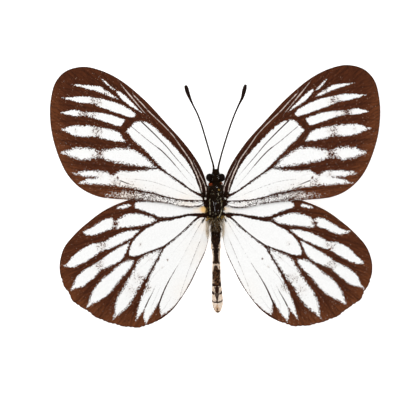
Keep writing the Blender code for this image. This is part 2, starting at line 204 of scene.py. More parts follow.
FOREWING_VEINS = {
    "subcosta": [(3.0, 5.2), (3.5, 7.0), (4.9, 9.7), (7.2, 13.4), (10.2, 17.4), (13.4, 20.9), (16.6, 24.0),
        (19.6, 27.0)],
    "radius": [(3.0, 3.4), (4.1, 6.2), (5.6, 9.3), (7.6, 12.2), (10.2, 15.4), (13.0, 18.5), (15.6, 20.7),
        (17.6, 21.6)],
    "radius_1": [(14.0, 19.4), (17.0, 23.2), (19.4, 25.8), (21.6, 28.1), (23.9, 30.4)],
    "radius_2": [(16.0, 21.0), (18.4, 23.6), (20.6, 25.9), (22.6, 27.9), (24.6, 29.2), (28.6, 32.6)],
    "radial_stem": [(17.6, 21.6), (19.9, 22.9), (22.3, 24.8), (24.3, 26.9), (26.4, 28.7), (30.3, 31.5),
        (33.4, 33.6)],
    "media_1": [(23.0, 25.3), (25.4, 26.1), (28.2, 26.95), (31.0, 27.7), (34.5, 28.4), (39.6, 29.2)],
    "media_2": [(20.5, 21.2), (22.3, 21.6), (26.0, 22.75), (30.0, 23.8), (34.0, 24.5), (40.6, 25.0)],
    "media_3": [(22.7, 18.6), (25.0, 19.05), (28.0, 19.9), (31.0, 20.5), (35.0, 20.85), (40.6, 20.6)],
    "cubitus_1": [(20.3, 14.6), (23.0, 14.85), (27.0, 15.0), (31.0, 15.3), (35.0, 15.6), (39.8, 16.0)],
    "cubitus_2": [(14.2, 9.1), (17.0, 9.1), (20.0, 9.05), (24.0, 9.3), (30.0, 9.8), (34.0, 10.1),
        (38.0, 10.5)],
    "cubitus": [(3.0, 2.3), (5.5, 3.4), (8.5, 5.5), (11.5, 7.6), (14.2, 9.1), (16.2, 11.1), (18.3, 13.0),
        (20.3, 14.6), (21.9, 16.4), (22.7, 18.6)],
    "cell_end": [(22.7, 18.6), (21.9, 20.1), (20.5, 21.2), (19.0, 21.6), (17.6, 21.6)],
    "anal": [(3.2, 0.9), (8.0, 1.07), (11.0, 1.55), (15.0, 2.6), (19.0, 3.35), (23.0, 3.75), (28.0, 4.0),
        (33.2, 4.4)],
}
HINDWING_VEINS = {
    "subcosta": [(3.4, -0.8), (8.0, 0.25), (14.0, 0.9), (19.0, 0.8), (22.0, 0.3), (25.6, -1.1)],
    "radius": [(3.2, -2.4), (6.0, -2.6), (9.0, -3.2), (12.0, -3.72), (14.3, -3.95), (16.0, -5.1),
        (17.8, -6.0), (19.7, -7.8)],
    "radial_sector": [(14.3, -3.95), (16.0, -2.9), (18.0, -2.15), (20.0, -1.7), (22.0, -1.75), (25.0, -2.4),
        (28.0, -3.1), (32.2, -5.5)],
    "media_1": [(17.8, -6.0), (21.0, -6.1), (24.0, -6.7), (27.0, -7.7), (30.0, -8.75), (33.0, -9.6),
        (37.2, -11.3)],
    "media_2": [(20.4, -8.75), (23.0, -10.05), (26.0, -11.5), (28.5, -12.9), (31.0, -14.4), (33.5, -15.9),
        (38.2, -17.9)],
    "media_3": [(22.0, -13.4), (24.4, -14.7), (27.0, -16.6), (29.3, -18.6), (31.3, -20.8), (34.6, -24.3)],
    "cell_end": [(19.7, -7.8), (20.9, -9.4), (21.6, -11.3), (22.0, -13.4)],
    "cubitus_1": [(19.8, -13.5), (20.4, -15.4), (21.8, -17.7), (23.4, -20.0), (25.2, -22.4), (26.9, -25.0),
        (28.7, -28.2)],
    "cubitus_2": [(12.9, -10.9), (14.6, -14.1), (16.2, -17.0), (17.7, -20.0), (18.9, -23.1), (20.0, -26.5),
        (21.1, -30.2)],
    "cubitus": [(3.2, -2.9), (4.6, -3.6), (6.6, -5.4), (9.3, -7.9), (12.9, -10.6), (15.0, -11.4),
        (17.5, -12.4), (19.8, -13.4), (22.0, -13.4)],
    "anal_2": [(3.4, -4.0), (5.0, -7.0), (7.0, -11.0), (9.0, -14.8), (10.9, -18.0), (12.4, -20.9),
        (13.6, -23.9), (14.9, -28.9)],
    "anal_3": [(2.7, -5.0), (3.9, -9.5), (5.8, -14.4), (7.2, -18.2), (8.9, -23.6)],
}

# %% [markdown]
# The windows could follow from the veins, but the brown beside a vein widens and narrows on its way. So each
# window has an outline of its own, and a softness, which says how far its ragged edge reaches.

# %% White windows of the pattern
# A window is (how soft its edge is, in mm, and its outline)
FOREWING_WHITE = {
    "cell": (0.55, [(3.1, 2.6), (3.1, 2.6), (4.1, 5.2), (5.3, 8.2), (7.0, 11.0), (9.2, 13.6), (11.6, 16.1),
        (13.6, 18.0), (15.4, 19.6), (17.2, 20.6), (19.0, 20.95), (20.3, 20.4), (21.0, 19.6), (22.35, 18.35),
        (22.35, 18.35), (21.1, 17.0), (20.0, 15.7), (18.2, 14.2), (16.0, 12.0), (13.9, 9.8), (11.5, 7.75),
        (8.5, 5.75), (5.5, 3.6)]),
    "radial_fork": (0.35, [(18.0, 22.7), (18.0, 22.7), (19.6, 24.35), (20.85, 25.6), (22.3, 27.0),
        (23.8, 28.2), (24.9, 28.6), (24.9, 28.6), (24.7, 27.9), (24.1, 27.15), (23.1, 25.95),
        (21.25, 24.55), (19.5, 23.55)]),
    "radial_thread": (0.35, [(24.9, 28.4), (24.9, 28.4), (25.2, 28.9), (26.3, 29.7), (27.7, 31.0),
        (29.8, 32.3), (29.8, 32.3), (27.8, 30.45), (26.2, 29.0)]),
    "apical": (0.45, [(23.9, 26.1), (23.9, 26.1), (25.5, 27.35), (27.6, 28.7), (28.6, 29.4), (31.0, 29.75),
        (34.0, 29.95), (36.2, 29.9), (36.2, 29.9), (33.5, 29.2), (31.0, 28.55), (28.4, 27.75),
        (26.2, 26.8)]),
    "median_1": (0.4, [(19.9, 22.5), (20.6, 23.3), (22.8, 24.65), (24.5, 25.38), (26.2, 25.9), (28.2, 26.4),
        (30.3, 26.8), (32.3, 27.0), (35.5, 26.85), (38.9, 26.55), (38.9, 26.55), (36.0, 25.85),
        (33.5, 25.25), (31.2, 25.1), (28.5, 24.15), (25.0, 23.0), (22.0, 22.0), (20.4, 21.75)]),
    "median_2": (0.4, [(22.5, 21.25), (22.5, 21.25), (25.5, 22.25), (28.5, 22.95), (31.7, 23.1),
        (33.4, 23.3), (35.2, 23.65), (37.2, 23.25), (38.9, 22.9), (38.9, 22.9), (37.0, 22.3), (35.0, 22.0),
        (32.6, 21.9), (30.0, 21.35), (27.0, 20.4), (24.2, 19.5), (23.5, 19.55), (22.9, 20.3)]),
    "median_3": (0.7, [(22.4, 15.65), (22.4, 15.65), (23.1, 16.8), (24.0, 18.0), (26.0, 18.75),
        (29.0, 19.3), (33.5, 19.7), (36.6, 19.4), (37.7, 18.85), (38.8, 18.65), (38.8, 18.65),
        (37.2, 18.05), (35.4, 17.15), (33.0, 16.85), (30.0, 16.75), (28.0, 16.35), (25.0, 15.8)]),
    "cubital_1": (1.1, [(14.8, 9.3), (14.8, 9.3), (16.0, 10.7), (17.8, 12.1), (19.7, 13.3), (21.2, 14.0),
        (24.5, 14.0), (27.2, 13.6), (28.9, 13.4), (30.6, 13.85), (33.0, 14.05), (35.8, 13.85), (37.2, 13.2),
        (38.4, 13.0), (38.4, 13.0), (36.3, 12.1), (34.0, 11.3), (31.8, 11.15), (30.2, 11.5), (28.4, 11.5),
        (26.0, 10.8), (22.0, 10.05), (18.5, 9.55)]),
    "cubital_2": (0.85, [(3.0, 1.9), (3.0, 1.9), (5.5, 3.3), (8.5, 5.35), (11.5, 7.45), (14.0, 8.9),
        (16.5, 8.65), (20.0, 8.35), (23.7, 8.35), (25.0, 7.75), (26.0, 7.7), (27.3, 8.2), (28.3, 8.3),
        (31.8, 8.35), (33.8, 8.05), (35.6, 7.6), (35.6, 7.6), (33.3, 7.1), (29.3, 6.62), (29.3, 6.62),
        (31.6, 6.3), (32.8, 5.75), (34.1, 5.2), (34.1, 5.2), (31.0, 5.0), (26.5, 4.75), (23.0, 4.4),
        (19.0, 3.7), (15.0, 2.75), (11.0, 1.65), (8.0, 1.2), (2.9, 1.1)]),
    "hind_margin": (2.2, [(2.7, 0.8), (2.7, 0.8), (8.0, 0.95), (12.0, 1.6), (16.0, 2.6), (20.0, 3.0),
        (24.0, 2.85), (26.8, 2.2), (26.8, 2.2), (23.5, 1.75), (19.0, 1.6), (15.0, 1.0), (11.0, 0.25),
        (8.0, -0.3), (5.5, -0.55), (2.8, -0.1)]),
}
HINDWING_WHITE = {
    "costal": (0.55, [(2.5, -0.6), (6.0, 0.3), (10.0, 0.45), (14.0, 0.55), (17.5, 0.65), (19.5, 0.5),
        (20.4, -0.1), (20.0, -0.95), (18.0, -1.6), (16.0, -2.4), (14.2, -3.1), (12.5, -3.35), (9.5, -2.95),
        (6.5, -2.4), (4.3, -2.25), (2.3, -2.15)]),
    "costal_spot": (0.6, [(20.9, -0.2), (20.9, -0.2), (21.9, 0.05), (23.3, -0.25), (24.6, -0.85),
        (24.9, -1.25), (23.5, -1.15), (22.2, -0.9)]),
    "radial_inner": (0.7, [(14.6, -3.95), (14.6, -3.95), (16.0, -3.3), (18.0, -2.65), (20.0, -2.3),
        (22.0, -2.6), (23.7, -3.3), (25.1, -4.5), (25.3, -6.0), (22.5, -5.8), (19.0, -5.45), (16.8, -5.0)]),
    "radial_outer": (0.6, [(25.3, -3.8), (26.4, -3.5), (28.0, -3.95), (29.6, -4.9), (31.5, -6.2),
        (33.0, -7.0), (32.3, -7.75), (30.5, -7.85), (28.4, -7.1), (26.8, -6.5), (25.1, -6.0),
        (24.9, -4.6)]),
    "median_1": (0.55, [(18.8, -6.4), (18.8, -6.4), (21.0, -6.55), (24.0, -7.4), (26.5, -8.65),
        (28.2, -9.5), (30.0, -9.7), (32.0, -10.45), (34.0, -11.75), (35.7, -13.1), (37.0, -14.8),
        (38.1, -15.6), (38.1, -15.6), (36.2, -15.95), (34.5, -15.45), (32.2, -14.3), (30.0, -12.9),
        (28.6, -12.0), (26.4, -11.2), (23.6, -9.9), (20.9, -8.4), (19.6, -7.2)]),
    "median_2": (0.6, [(21.3, -9.3), (21.3, -9.3), (23.5, -10.5), (26.1, -12.1), (28.0, -13.45),
        (29.4, -14.45), (31.2, -15.5), (33.2, -16.8), (34.7, -18.4), (35.5, -20.2), (36.4, -21.9),
        (36.4, -21.9), (35.0, -21.15), (33.2, -20.7), (31.5, -19.4), (29.9, -18.0), (28.3, -16.5),
        (26.0, -15.4), (23.4, -13.9), (22.4, -12.3)]),
    "cell": (0.45, [(4.2, -2.95), (4.2, -2.95), (6.5, -2.85), (9.0, -3.45), (12.0, -4.15), (14.2, -4.5),
        (16.0, -5.5), (18.0, -6.6), (19.9, -8.4), (20.9, -9.9), (21.6, -12.2), (21.4, -12.95),
        (19.5, -12.95), (17.0, -12.0), (14.0, -10.9), (12.2, -10.15), (9.0, -7.65), (6.0, -5.0)]),
    "median_3": (0.8, [(20.5, -14.15), (22.3, -14.2), (24.4, -15.4), (26.3, -17.25), (28.3, -18.8),
        (29.8, -20.6), (31.0, -22.6), (31.6, -24.6), (32.1, -25.95), (32.1, -25.95), (30.3, -24.8),
        (28.5, -23.9), (26.6, -22.5), (25.0, -20.7), (23.6, -18.75), (21.9, -16.8), (20.7, -15.2)]),
    "cubital_1": (1.0, [(13.35, -11.25), (13.35, -11.25), (15.2, -11.85), (17.5, -12.85), (18.9, -13.9),
        (20.0, -15.8), (21.4, -18.3), (23.0, -21.0), (24.3, -23.2), (25.0, -25.4), (25.2, -27.5),
        (25.4, -28.9), (25.4, -28.9), (23.9, -27.5), (22.2, -26.1), (20.9, -24.3), (19.6, -22.0),
        (18.0, -19.5), (16.0, -16.2), (14.6, -13.8)]),
    "anal": (0.6, [(1.8, -3.5), (3.8, -3.3), (6.5, -5.65), (9.5, -8.25), (12.9, -11.1), (12.9, -11.1),
        (14.4, -14.2), (16.0, -17.3), (17.3, -20.3), (18.5, -23.5), (19.3, -26.2), (19.95, -29.5),
        (19.95, -29.5), (18.8, -28.0), (17.6, -26.2), (17.6, -26.2), (17.8, -28.2), (17.3, -29.9),
        (17.3, -29.9), (16.3, -28.5), (15.2, -26.8), (14.1, -24.6), (14.1, -24.6), (13.8, -26.6),
        (13.7, -28.2), (13.7, -28.2), (11.4, -26.7), (9.3, -24.6), (7.5, -22.0), (5.2, -17.6), (3.5, -14.0),
        (2.1, -10.8), (1.6, -7.5), (1.5, -5.0)]),
}

# %% [markdown]
# No insect is quite the same on both sides. These windows of the right wings have outlines of their own. They
# are drawn on the left wing's plan too, so they turn and stretch with the rest.

# %% Windows that differ on the right
RIGHT_FOREWING_WHITE = {
    "hind_margin": (2.2, [(2.7, 0.8), (2.7, 0.8), (8.0, 0.95), (12.0, 1.6), (16.0, 2.6), (20.0, 2.95),
        (23.2, 2.7), (25.4, 2.25), (25.4, 2.25), (22.6, 1.75), (19.0, 1.6), (15.0, 1.0), (11.0, 0.25),
        (8.0, -0.3), (5.5, -0.55), (2.8, -0.1)]),
    "radial_thread": (0.35, [(24.7, 27.9), (24.7, 27.9), (25.8, 29.0), (27.0, 30.2), (28.2, 31.0),
        (28.2, 31.0), (27.3, 29.75), (26.3, 28.6)]),
    "apical": (0.45, [(25.0, 26.5), (25.0, 26.5), (26.2, 27.6), (28.0, 28.6), (29.6, 29.4), (32.1, 29.75),
        (35.3, 29.95), (35.3, 29.95), (32.5, 29.0), (29.6, 28.05), (27.6, 27.25), (26.3, 26.8)]),
    "median_1": (0.4, [(19.9, 22.5), (20.6, 23.3), (22.8, 24.65), (24.5, 25.4), (26.2, 26.0), (28.2, 26.5),
        (30.3, 26.9), (32.3, 27.15), (35.0, 27.1), (38.0, 26.85), (38.0, 26.85), (35.6, 26.1), (33.5, 25.6),
        (31.2, 25.2), (28.5, 24.15), (25.0, 23.0), (22.0, 22.0), (20.4, 21.75)]),
    "cubital_1": (1.1, [(14.8, 9.3), (14.8, 9.3), (16.0, 10.7), (17.8, 12.1), (19.7, 13.3), (21.2, 14.0),
        (24.5, 14.0), (27.2, 13.5), (28.6, 13.3), (30.2, 13.8), (32.6, 14.05), (35.2, 13.7), (36.6, 13.1),
        (37.8, 12.75), (37.8, 12.75), (36.0, 11.9), (33.8, 11.2), (31.8, 11.1), (30.0, 11.5), (28.2, 11.5),
        (26.0, 10.8), (22.0, 10.05), (18.5, 9.55)]),
}
RIGHT_HINDWING_WHITE = {
    "costal_spot": (0.6, [(21.8, -0.5), (22.6, -0.1), (24.0, -0.5), (24.9, -1.1), (24.9, -1.1),
        (23.8, -1.25), (22.6, -1.05)]),
    "radial_outer": (0.6, [(25.1, -3.9), (26.9, -3.7), (28.4, -4.45), (30.3, -5.7), (32.2, -6.75),
        (33.7, -7.2), (33.7, -7.2), (32.2, -7.7), (30.6, -7.9), (29.0, -7.3), (27.6, -6.5), (25.8, -6.0),
        (24.9, -4.8)]),
    "median_1": (0.55, [(18.8, -6.4), (18.8, -6.4), (21.0, -6.55), (24.0, -7.4), (26.5, -8.65),
        (28.2, -9.5), (30.0, -9.75), (32.0, -10.6), (33.6, -11.95), (35.2, -13.7), (36.7, -15.3),
        (36.7, -15.3), (35.4, -15.4), (34.2, -15.2), (32.2, -14.3), (30.0, -12.9), (28.6, -12.0),
        (26.4, -11.2), (23.6, -9.9), (20.9, -8.4), (19.6, -7.2)]),
}

# %% [markdown]
# Some marks are too thin for an outline. They are lines with a half-width and a strength: dark threads in the
# white windows, where a hidden fold or a bare vein shows, and pale streaks between the crowded veins along
# the forewing's front edge.

# %% Thin marks
# A mark is (half-width at its start, half-width at its end, strength at its start, at its end, points)
FOREWING_THREADS = [
    (0.10, 0.20, 0.3, 1.0, [(5.1, 6.5), (6.3, 7.85), (8.5, 10.35), (10.3, 12.4), (12.06, 14.5),
        (14.0, 16.5), (16.2, 18.65), (18.4, 20.7)]),
    (0.11, 0.12, 0.5, 0.6, [(20.7, 19.3), (18.97, 17.9), (16.2, 15.65), (14.2, 14.2)]),
    (0.18, 0.14, 0.95, 0.8, [(14.2, 14.2), (13.2, 13.4), (11.3, 11.5), (9.8, 9.8)]),
    (0.11, 0.10, 0.55, 0.2, [(9.8, 9.8), (9.1, 9.0), (6.9, 6.4), (5.1, 4.4), (4.4, 3.6)]),
    (0.20, 0.18, 0.9, 0.8, [(3.3, 2.45), (5.5, 3.45), (8.5, 5.55), (11.5, 7.6), (14.2, 9.2)]),
    (0.13, 0.22, 0.75, 0.9, [(14.2, 9.1), (17.0, 9.1), (20.0, 9.05), (23.0, 9.2)]),
    (0.12, 0.12, 0.35, 0.3, [(20.0, 6.3), (16.0, 5.8), (12.0, 4.6), (7.0, 2.6)]),
    (0.12, 0.16, 0.4, 0.9, [(20.6, 4.8), (22.2, 5.4), (23.5, 5.9)]),
    (0.16, 0.20, 0.65, 0.75, [(2.9, 1.10), (8.0, 1.2), (11.0, 1.64), (15.0, 2.66), (19.0, 3.38)]),
    (0.14, 0.12, 0.75, 0.45, [(2.4, 0.45), (3.4, -0.10), (5.5, -0.48), (8.0, -0.32)]),
]
HINDWING_THREADS = [
    (0.15, 0.14, 0.95, 0.9, [(3.2, -2.8), (4.6, -3.38), (6.6, -5.27), (9.3, -7.77), (12.9, -10.5)]),
    (0.15, 0.20, 0.8, 0.9, [(12.9, -10.6), (15.0, -11.4), (17.5, -12.4), (19.8, -13.4)]),
    (0.14, 0.22, 0.8, 0.9, [(12.9, -10.9), (14.6, -14.1), (16.2, -17.0), (17.7, -20.0)]),
    (0.13, 0.26, 0.35, 1.0, [(9.0, -14.8), (10.9, -18.0), (12.4, -20.9), (13.6, -23.9), (14.2, -25.5)]),
    (0.12, 0.14, 0.3, 0.4, [(8.9, -23.9), (8.1, -20.9), (7.2, -18.2), (5.8, -14.4), (3.9, -9.5)]),
    (0.12, 0.20, 0.3, 0.95, [(15.0, -20.65), (15.7, -22.3), (16.6, -24.0), (17.4, -25.8)]),
    (0.12, 0.11, 0.4, 0.2, [(3.4, -4.4), (5.0, -7.2), (7.0, -11.0), (9.0, -14.8)]),
    (0.12, 0.10, 0.45, 0.2, [(17.3, -22.2), (16.2, -19.3), (14.5, -17.0), (12.0, -15.0)]),
    (0.20, 0.16, 0.35, 0.8, [(1.9, -10.8), (3.3, -14.1), (4.95, -17.4), (6.9, -21.2), (9.1, -24.5),
        (11.2, -26.8), (13.7, -28.6)]),
    (0.36, 0.18, 1.0, 0.8, [(1.9, -2.5), (3.0, -2.6), (4.2, -2.7)]),
]
# Streaks side by side run in opposite directions, so that the signed distances to both agree between them
PALE_STREAKS = [
    (0.15, 0.09, 1.0, 0.35, [(2.05, 2.7), (2.06, 3.5), (2.2, 4.4), (2.75, 5.8), (3.4, 7.1), (4.1, 8.55),
        (5.1, 10.4)]),
    (0.17, 0.14, 0.95, 0.9, [(5.23, 9.2), (4.7, 8.2), (4.07, 6.6), (3.6, 5.4), (3.36, 4.5), (3.18, 3.6)]),
    (0.13, 0.17, 0.65, 0.95, [(10.3, 17.1), (8.7, 14.8), (7.3, 12.9), (5.95, 10.9), (5.23, 9.2)]),
    (0.15, 0.13, 0.9, 0.65, [(20.3, 27.2), (18.37, 25.24), (16.76, 23.47), (14.5, 21.35), (12.2, 19.15),
        (10.3, 17.1)]),
    (0.10, 0.20, 0.6, 0.9, [(17.7, 23.0), (18.4, 23.8), (19.65, 25.24), (21.15, 27.03)]),
    (0.20, 0.09, 0.9, 0.6, [(21.15, 27.03), (22.65, 28.8), (23.6, 30.0)]),
]
BASE_STREAKS = [(0.15, 0.10, 0.5, 0.3, [(3.0, -1.9), (6.0, -2.1), (9.0, -2.7)])]

# %% [markdown]
# Brown scales are dusted over parts of the white, and yellow stains it near the body. Neither has an edge to
# draw, so each is a round cloud that fades outwards.

# %% Dusted and tinted clouds
# A cloud is (outwards, towards the head, radius, strength)
FOREWING_CLOUDS = [
    (26.0, 29.3, 0.7, 0.45), (27.3, 28.1, 0.8, 0.45), (25.4, 26.9, 0.8, 0.15), (30.0, 25.6, 1.5, 0.44),
    (29.4, 26.3, 0.8, 0.40), (24.9, 28.5, 0.4, 0.35), (28.6, 31.3, 0.7, 0.5), (32.8, 22.6, 1.25, 0.72),
    (30.6, 22.2, 1.0, 0.3), (29.6, 18.2, 1.3, 0.48), (29.3, 16.9, 0.8, 0.50), (28.9, 12.6, 1.15, 0.68),
    (30.2, 12.3, 0.8, 0.35), (24.2, 6.65, 0.32, 1.3), (25.2, 5.4, 0.9, 0.45), (24.1, 5.4, 0.7, 0.4),
    (28.6, 7.3, 0.9, 0.3), (34.8, 18.4, 0.5, 0.3), (20.0, 2.2, 3.0, 0.30), (24.6, 2.2, 2.2, 0.46),
    (15.5, 1.7, 2.6, 0.22), (12.0, 0.9, 2.0, 0.14), (25.6, 7.7, 0.8, 0.55), (21.5, 4.3, 1.3, 0.25),
]
HINDWING_CLOUDS = [
    (20.6, -0.2, 0.5, 0.7), (25.0, -4.9, 0.8, 0.80), (25.3, -6.0, 0.7, 0.75), (24.9, -3.6, 0.6, 0.7),
    (28.4, -10.4, 1.3, 0.42), (28.6, -11.5, 1.0, 0.38), (29.0, -15.2, 1.2, 0.45), (28.6, -16.4, 0.8, 0.4),
    (19.4, -18.8, 1.5, 0.26), (20.8, -21.6, 1.6, 0.24), (17.0, -21.0, 1.0, 0.4), (18.2, -18.4, 0.8, 0.35),
    (11.9, -13.85, 0.25, 0.9), (13.2, -15.8, 0.3, 0.4), (18.6, -10.0, 0.6, 0.2), (16.4, -13.6, 0.8, 0.2),
    (37.1, -15.8, 0.4, 0.5), (14.0, -27.6, 0.8, 0.35),
]
FOREWING_WARMTH = [
    (7.0, 0.2, 3.0, 0.18), (14.0, 1.2, 5.0, 0.05), (22.0, 2.2, 4.0, 0.16), (2.6, 1.4, 0.8, 0.25),
]
HINDWING_WARMTH = [
    (2.8, -1.3, 0.95, 1.5), (3.6, -1.3, 0.9, 0.6), (4.4, -1.5, 1.2, 0.25), (2.6, -5.0, 2.5, 0.18),
    (3.0, -12.0, 4.0, 0.10), (7.0, -22.0, 3.5, 0.10),
]
# The right wings' roots are paler: a narrow yellow strip against the body, and little beyond it
RIGHT_FOREWING_WARMTH = [(7.0, 0.2, 3.0, 0.07), (22.0, 2.2, 4.0, 0.07), (2.6, 1.4, 0.8, 0.10)]
RIGHT_HINDWING_WARMTH = [
    (2.6, -1.0, 0.5, 0.9), (2.6, 0.0, 0.35, 1.0), (3.2, -1.3, 1.2, 0.35), (4.4, -1.5, 1.2, 0.10),
    (2.6, -5.0, 2.5, 0.08), (7.0, -22.0, 3.5, 0.05),
]

# %% [markdown]
# A smooth line through given points, the distance from many points to such a line, and the depth of
# many points inside a closed outline are all that the pattern needs. Each is worked out for every point of a
# wing at once. The distances have a sign, so that a narrow line stays narrow between the sheet's own points.

# %% Plan geometry helpers
def smooth_line(points, steps=8, closed=False):
    """Centripetal Catmull-Rom points through these. A point given twice is a corner."""
    count = len(points)
    found = []
    for i in range(count if closed else count - 1):
        first, last = points[i], points[(i + 1) % count]
        if first == last:
            continue
        before = points[(i - 1) % count] if closed or i > 0 else first
        after = points[(i + 2) % count] if closed or i + 2 < count else last
        p = np.array([before, first, last, after], float)
        if before == first:
            p[0] = 2 * p[1] - p[2]
        if after == last:
            p[3] = 2 * p[2] - p[1]
        knots = np.concatenate([[0], np.cumsum(np.sqrt(np.linalg.norm(np.diff(p, axis=0), axis=1)))])
        for step in range(steps):
            t = knots[1] + (knots[2] - knots[1]) * step / steps
            rows = p
            for starts, ends in ((knots[:3], knots[1:]), (knots[:2], knots[2:]), (knots[1:2], knots[2:3])):
                shares = ((t - starts) / (ends - starts))[:, None]
                rows = rows[:-1] * (1 - shares) + rows[1:] * shares
            found.append(tuple(rows[0]))
    if not closed:
        found.append(points[-1])
    return found


def depth_inside(places, outline):
    """How deep each place lies inside a closed outline, in mm. Outside it is negative."""
    rows = np.array(outline, float)
    nearest = np.full(len(places), np.inf)
    inside = np.zeros(len(places), bool)
    for (ax, ay), (bx, by) in zip(rows, np.roll(rows, -1, axis=0)):
        ex, ey = bx - ax, by - ay
        px, py = places[:, 0] - ax, places[:, 1] - ay
        t = np.clip((px * ex + py * ey) / (ex * ex + ey * ey + 1e-12), 0, 1)
        nearest = np.minimum(nearest, (px - t * ex) ** 2 + (py - t * ey) ** 2)
        if ay != by:
            inside ^= ((ay > places[:, 1]) != (by > places[:, 1])) & (px < ex * py / ey)
    return np.where(inside, 1, -1) * np.sqrt(nearest)


def distance_to_line(places, line):
    """The distance of each place to an open line, positive on its left, and the share of it passed there."""
    rows = np.array(line, float)
    lengths = np.linalg.norm(np.diff(rows, axis=0), axis=1)
    passed = np.concatenate([[0], np.cumsum(lengths)]) / lengths.sum()
    best = np.full(len(places), np.inf)
    share = np.zeros(len(places))
    for i, (a, b) in enumerate(zip(rows[:-1], rows[1:])):
        e = b - a
        p = places - a
        t = np.clip(p @ e / (e @ e), 0, 1)
        d = np.linalg.norm(p - t[:, None] * e, axis=1)
        side = np.where(e[0] * p[:, 1] - e[1] * p[:, 0] < 0, -1, 1)
        closer = d < np.abs(best)
        best = np.where(closer, side * d, best)
        share = np.where(closer, passed[i] + (passed[i + 1] - passed[i]) * t, share)
    return best, share


def line_marks(places, marks):
    """The signed distance of each place to the nearest mark, and its half-width and strength there."""
    distance = np.full(len(places), np.inf)
    width = np.zeros(len(places))
    strength = np.zeros(len(places))
    for width_start, width_end, strength_start, strength_end, points in marks:
        d, share = distance_to_line(places, smooth_line(points, steps=5))
        half = width_start + (width_end - width_start) * share
        closer = np.abs(d) - half < np.abs(distance) - width
        distance = np.where(closer, d, distance)
        width = np.where(closer, half, width)
        strength = np.where(closer, strength_start + (strength_end - strength_start) * share, strength)
    return distance, width, strength


# %% [markdown]
# The four wings lie on one gently curved surface. They rise a little from the body, droop to the front and
# the back, and the forewings lie on top. The membrane is not quite flat: it sags between its veins.

# %% The wings' attitude
WING_THICKNESS = 0.13
VEIN_RISE = 0.10
VEIN_HALF_WIDTH = 0.30
WING_LEVEL = 0.22
WING_REACH = 41.25
ROOT_HEIGHT = 4.3
TIP_LIFT = 2.0
DROOP = 1.2
DROOP_CENTRE = 4.0
DROOP_REACH = 34.0
INNER_FOLD = 1.2
FOLD_START = -3.0
FOLD_LENGTH = 6.0
VEIN_TAPER = 0.55
# How each wing lies: the shift, the share of u and the share of v that make its u, and the same for its v
WING_SETS = {
    "forewing_left": ((0.20, 0.997, -0.0098), (-0.22, 0.006, 0.997)),
    "forewing_right": ((0.17, 1.000, -0.0069), (-0.39, 0.010, 1.0156)),
    "hindwing_left": ((-0.05, 0.995, -0.0070), (-0.10, 0.004, 1.001)),
    "hindwing_right": ((-1.07, 1.027, -0.0492), (-0.14, 0.0126, 0.991)),
}
# The right hindwing's root is tucked outwards, fading with the distance from the body
TUCKS = {"hindwing_right": 1.0}
TUCK_START = 1.5
TUCK_WIDTH = 3.0


def near_body(u):
    """The share of the tuck and of the fold that is left this far from the body."""
    return np.exp(-np.maximum(u - TUCK_START, 0) / TUCK_WIDTH)


def wing_height(u, v):
    lift = TIP_LIFT * np.sin(math.pi / 2 * u / WING_REACH)
    return ROOT_HEIGHT + lift - DROOP * ((v - DROOP_CENTRE) / DROOP_REACH) ** 2


def inner_fold(u, v):
    """How far the hindwing's inner margin hangs down beside the abdomen."""
    t = np.clip((FOLD_START - v) / FOLD_LENGTH, 0, 1)
    return INNER_FOLD * near_body(u) * t * t * (3 - 2 * t)


def set_wing(places, setting, tuck):
    """Plan places, moved to where they lie on this wing. A tuck moves those near the body outwards."""
    u, v = places[:, 0], places[:, 1]
    moved = np.stack([row[0] + row[1] * u + row[2] * v for row in setting], axis=1)
    moved[:, 0] += tuck * near_body(u)
    return moved


# %% [markdown]
# ## The wing sheets
# Each wing starts as a grid with a point every fifth of a millimetre. The squares outside the outline are
# deleted and the ragged rim that is left is pulled onto the outline. Solidify gives the sheet its thickness,
# and then every point is moved to its height, with the veins raised on both faces as on a real wing. The rim
# is let out by its fringe of long scales. The fringe's width in mm is given at angles around the wing's
# middle, anticlockwise from the side away from the body, and a width below zero draws the rim in.

# %% Make the four wing sheets
SHEET_GRID = 0.2
RIM_REACH = 0.45
BAY_DEPTH = 0.26
BAY_WIDTH = 1.15
BAY_START = (13.0, -16.0)
BAY_FADE = 3.0
BAY_UNEVEN = 0.4
BAY_RHYTHM = 1.7
WING_ROOT = (2.0, 0.5)
RIM_GROWTH = {
    "forewing_left": [(10, 0.10), (30, 0.10), (50, 0.19), (70, 0.22), (90, 0.28), (110, 0.32), (130, 0.18),
        (150, 0.10), (170, 0.20), (190, 0.28), (210, 0.15), (230, 0.0), (290, 0.05), (330, 0.10)],
    "forewing_right": [(10, 0.09), (30, -0.07), (50, -0.03), (70, 0.13), (90, 0.19), (110, 0.22),
        (130, 0.13), (150, 0.11), (170, 0.23), (190, 0.19), (230, 0.0), (290, 0.09), (310, 0.19),
        (330, 0.15), (350, 0.14)],
    "hindwing_left": [(10, 0.15), (30, 0.22), (50, 0.08), (70, 0.15), (90, 0.0), (190, 0.0), (210, -0.04),
        (230, 0.0), (250, 0.15), (270, 0.15), (290, 0.12), (310, 0.30), (330, 0.19), (350, 0.14)],
    "hindwing_right": [(10, -0.38), (30, -0.08), (50, -0.07), (70, 0.03), (90, 0.0), (190, 0.0),
        (210, -0.05), (230, -0.04), (250, 0.19), (270, 0.26), (290, 0.28), (310, 0.34), (330, 0.01),
        (350, -0.25)],
}


def mesh_places(mesh):
    """The mesh's points in mm, a row each."""
    places = np.zeros(len(mesh.vertices) * 3)
    mesh.vertices.foreach_get("co", places)
    return places.reshape(-1, 3) / MM


def select_only(piece):
    bpy.ops.object.select_all(action="DESELECT")
    piece.select_set(True)
    bpy.context.view_layer.objects.active = piece


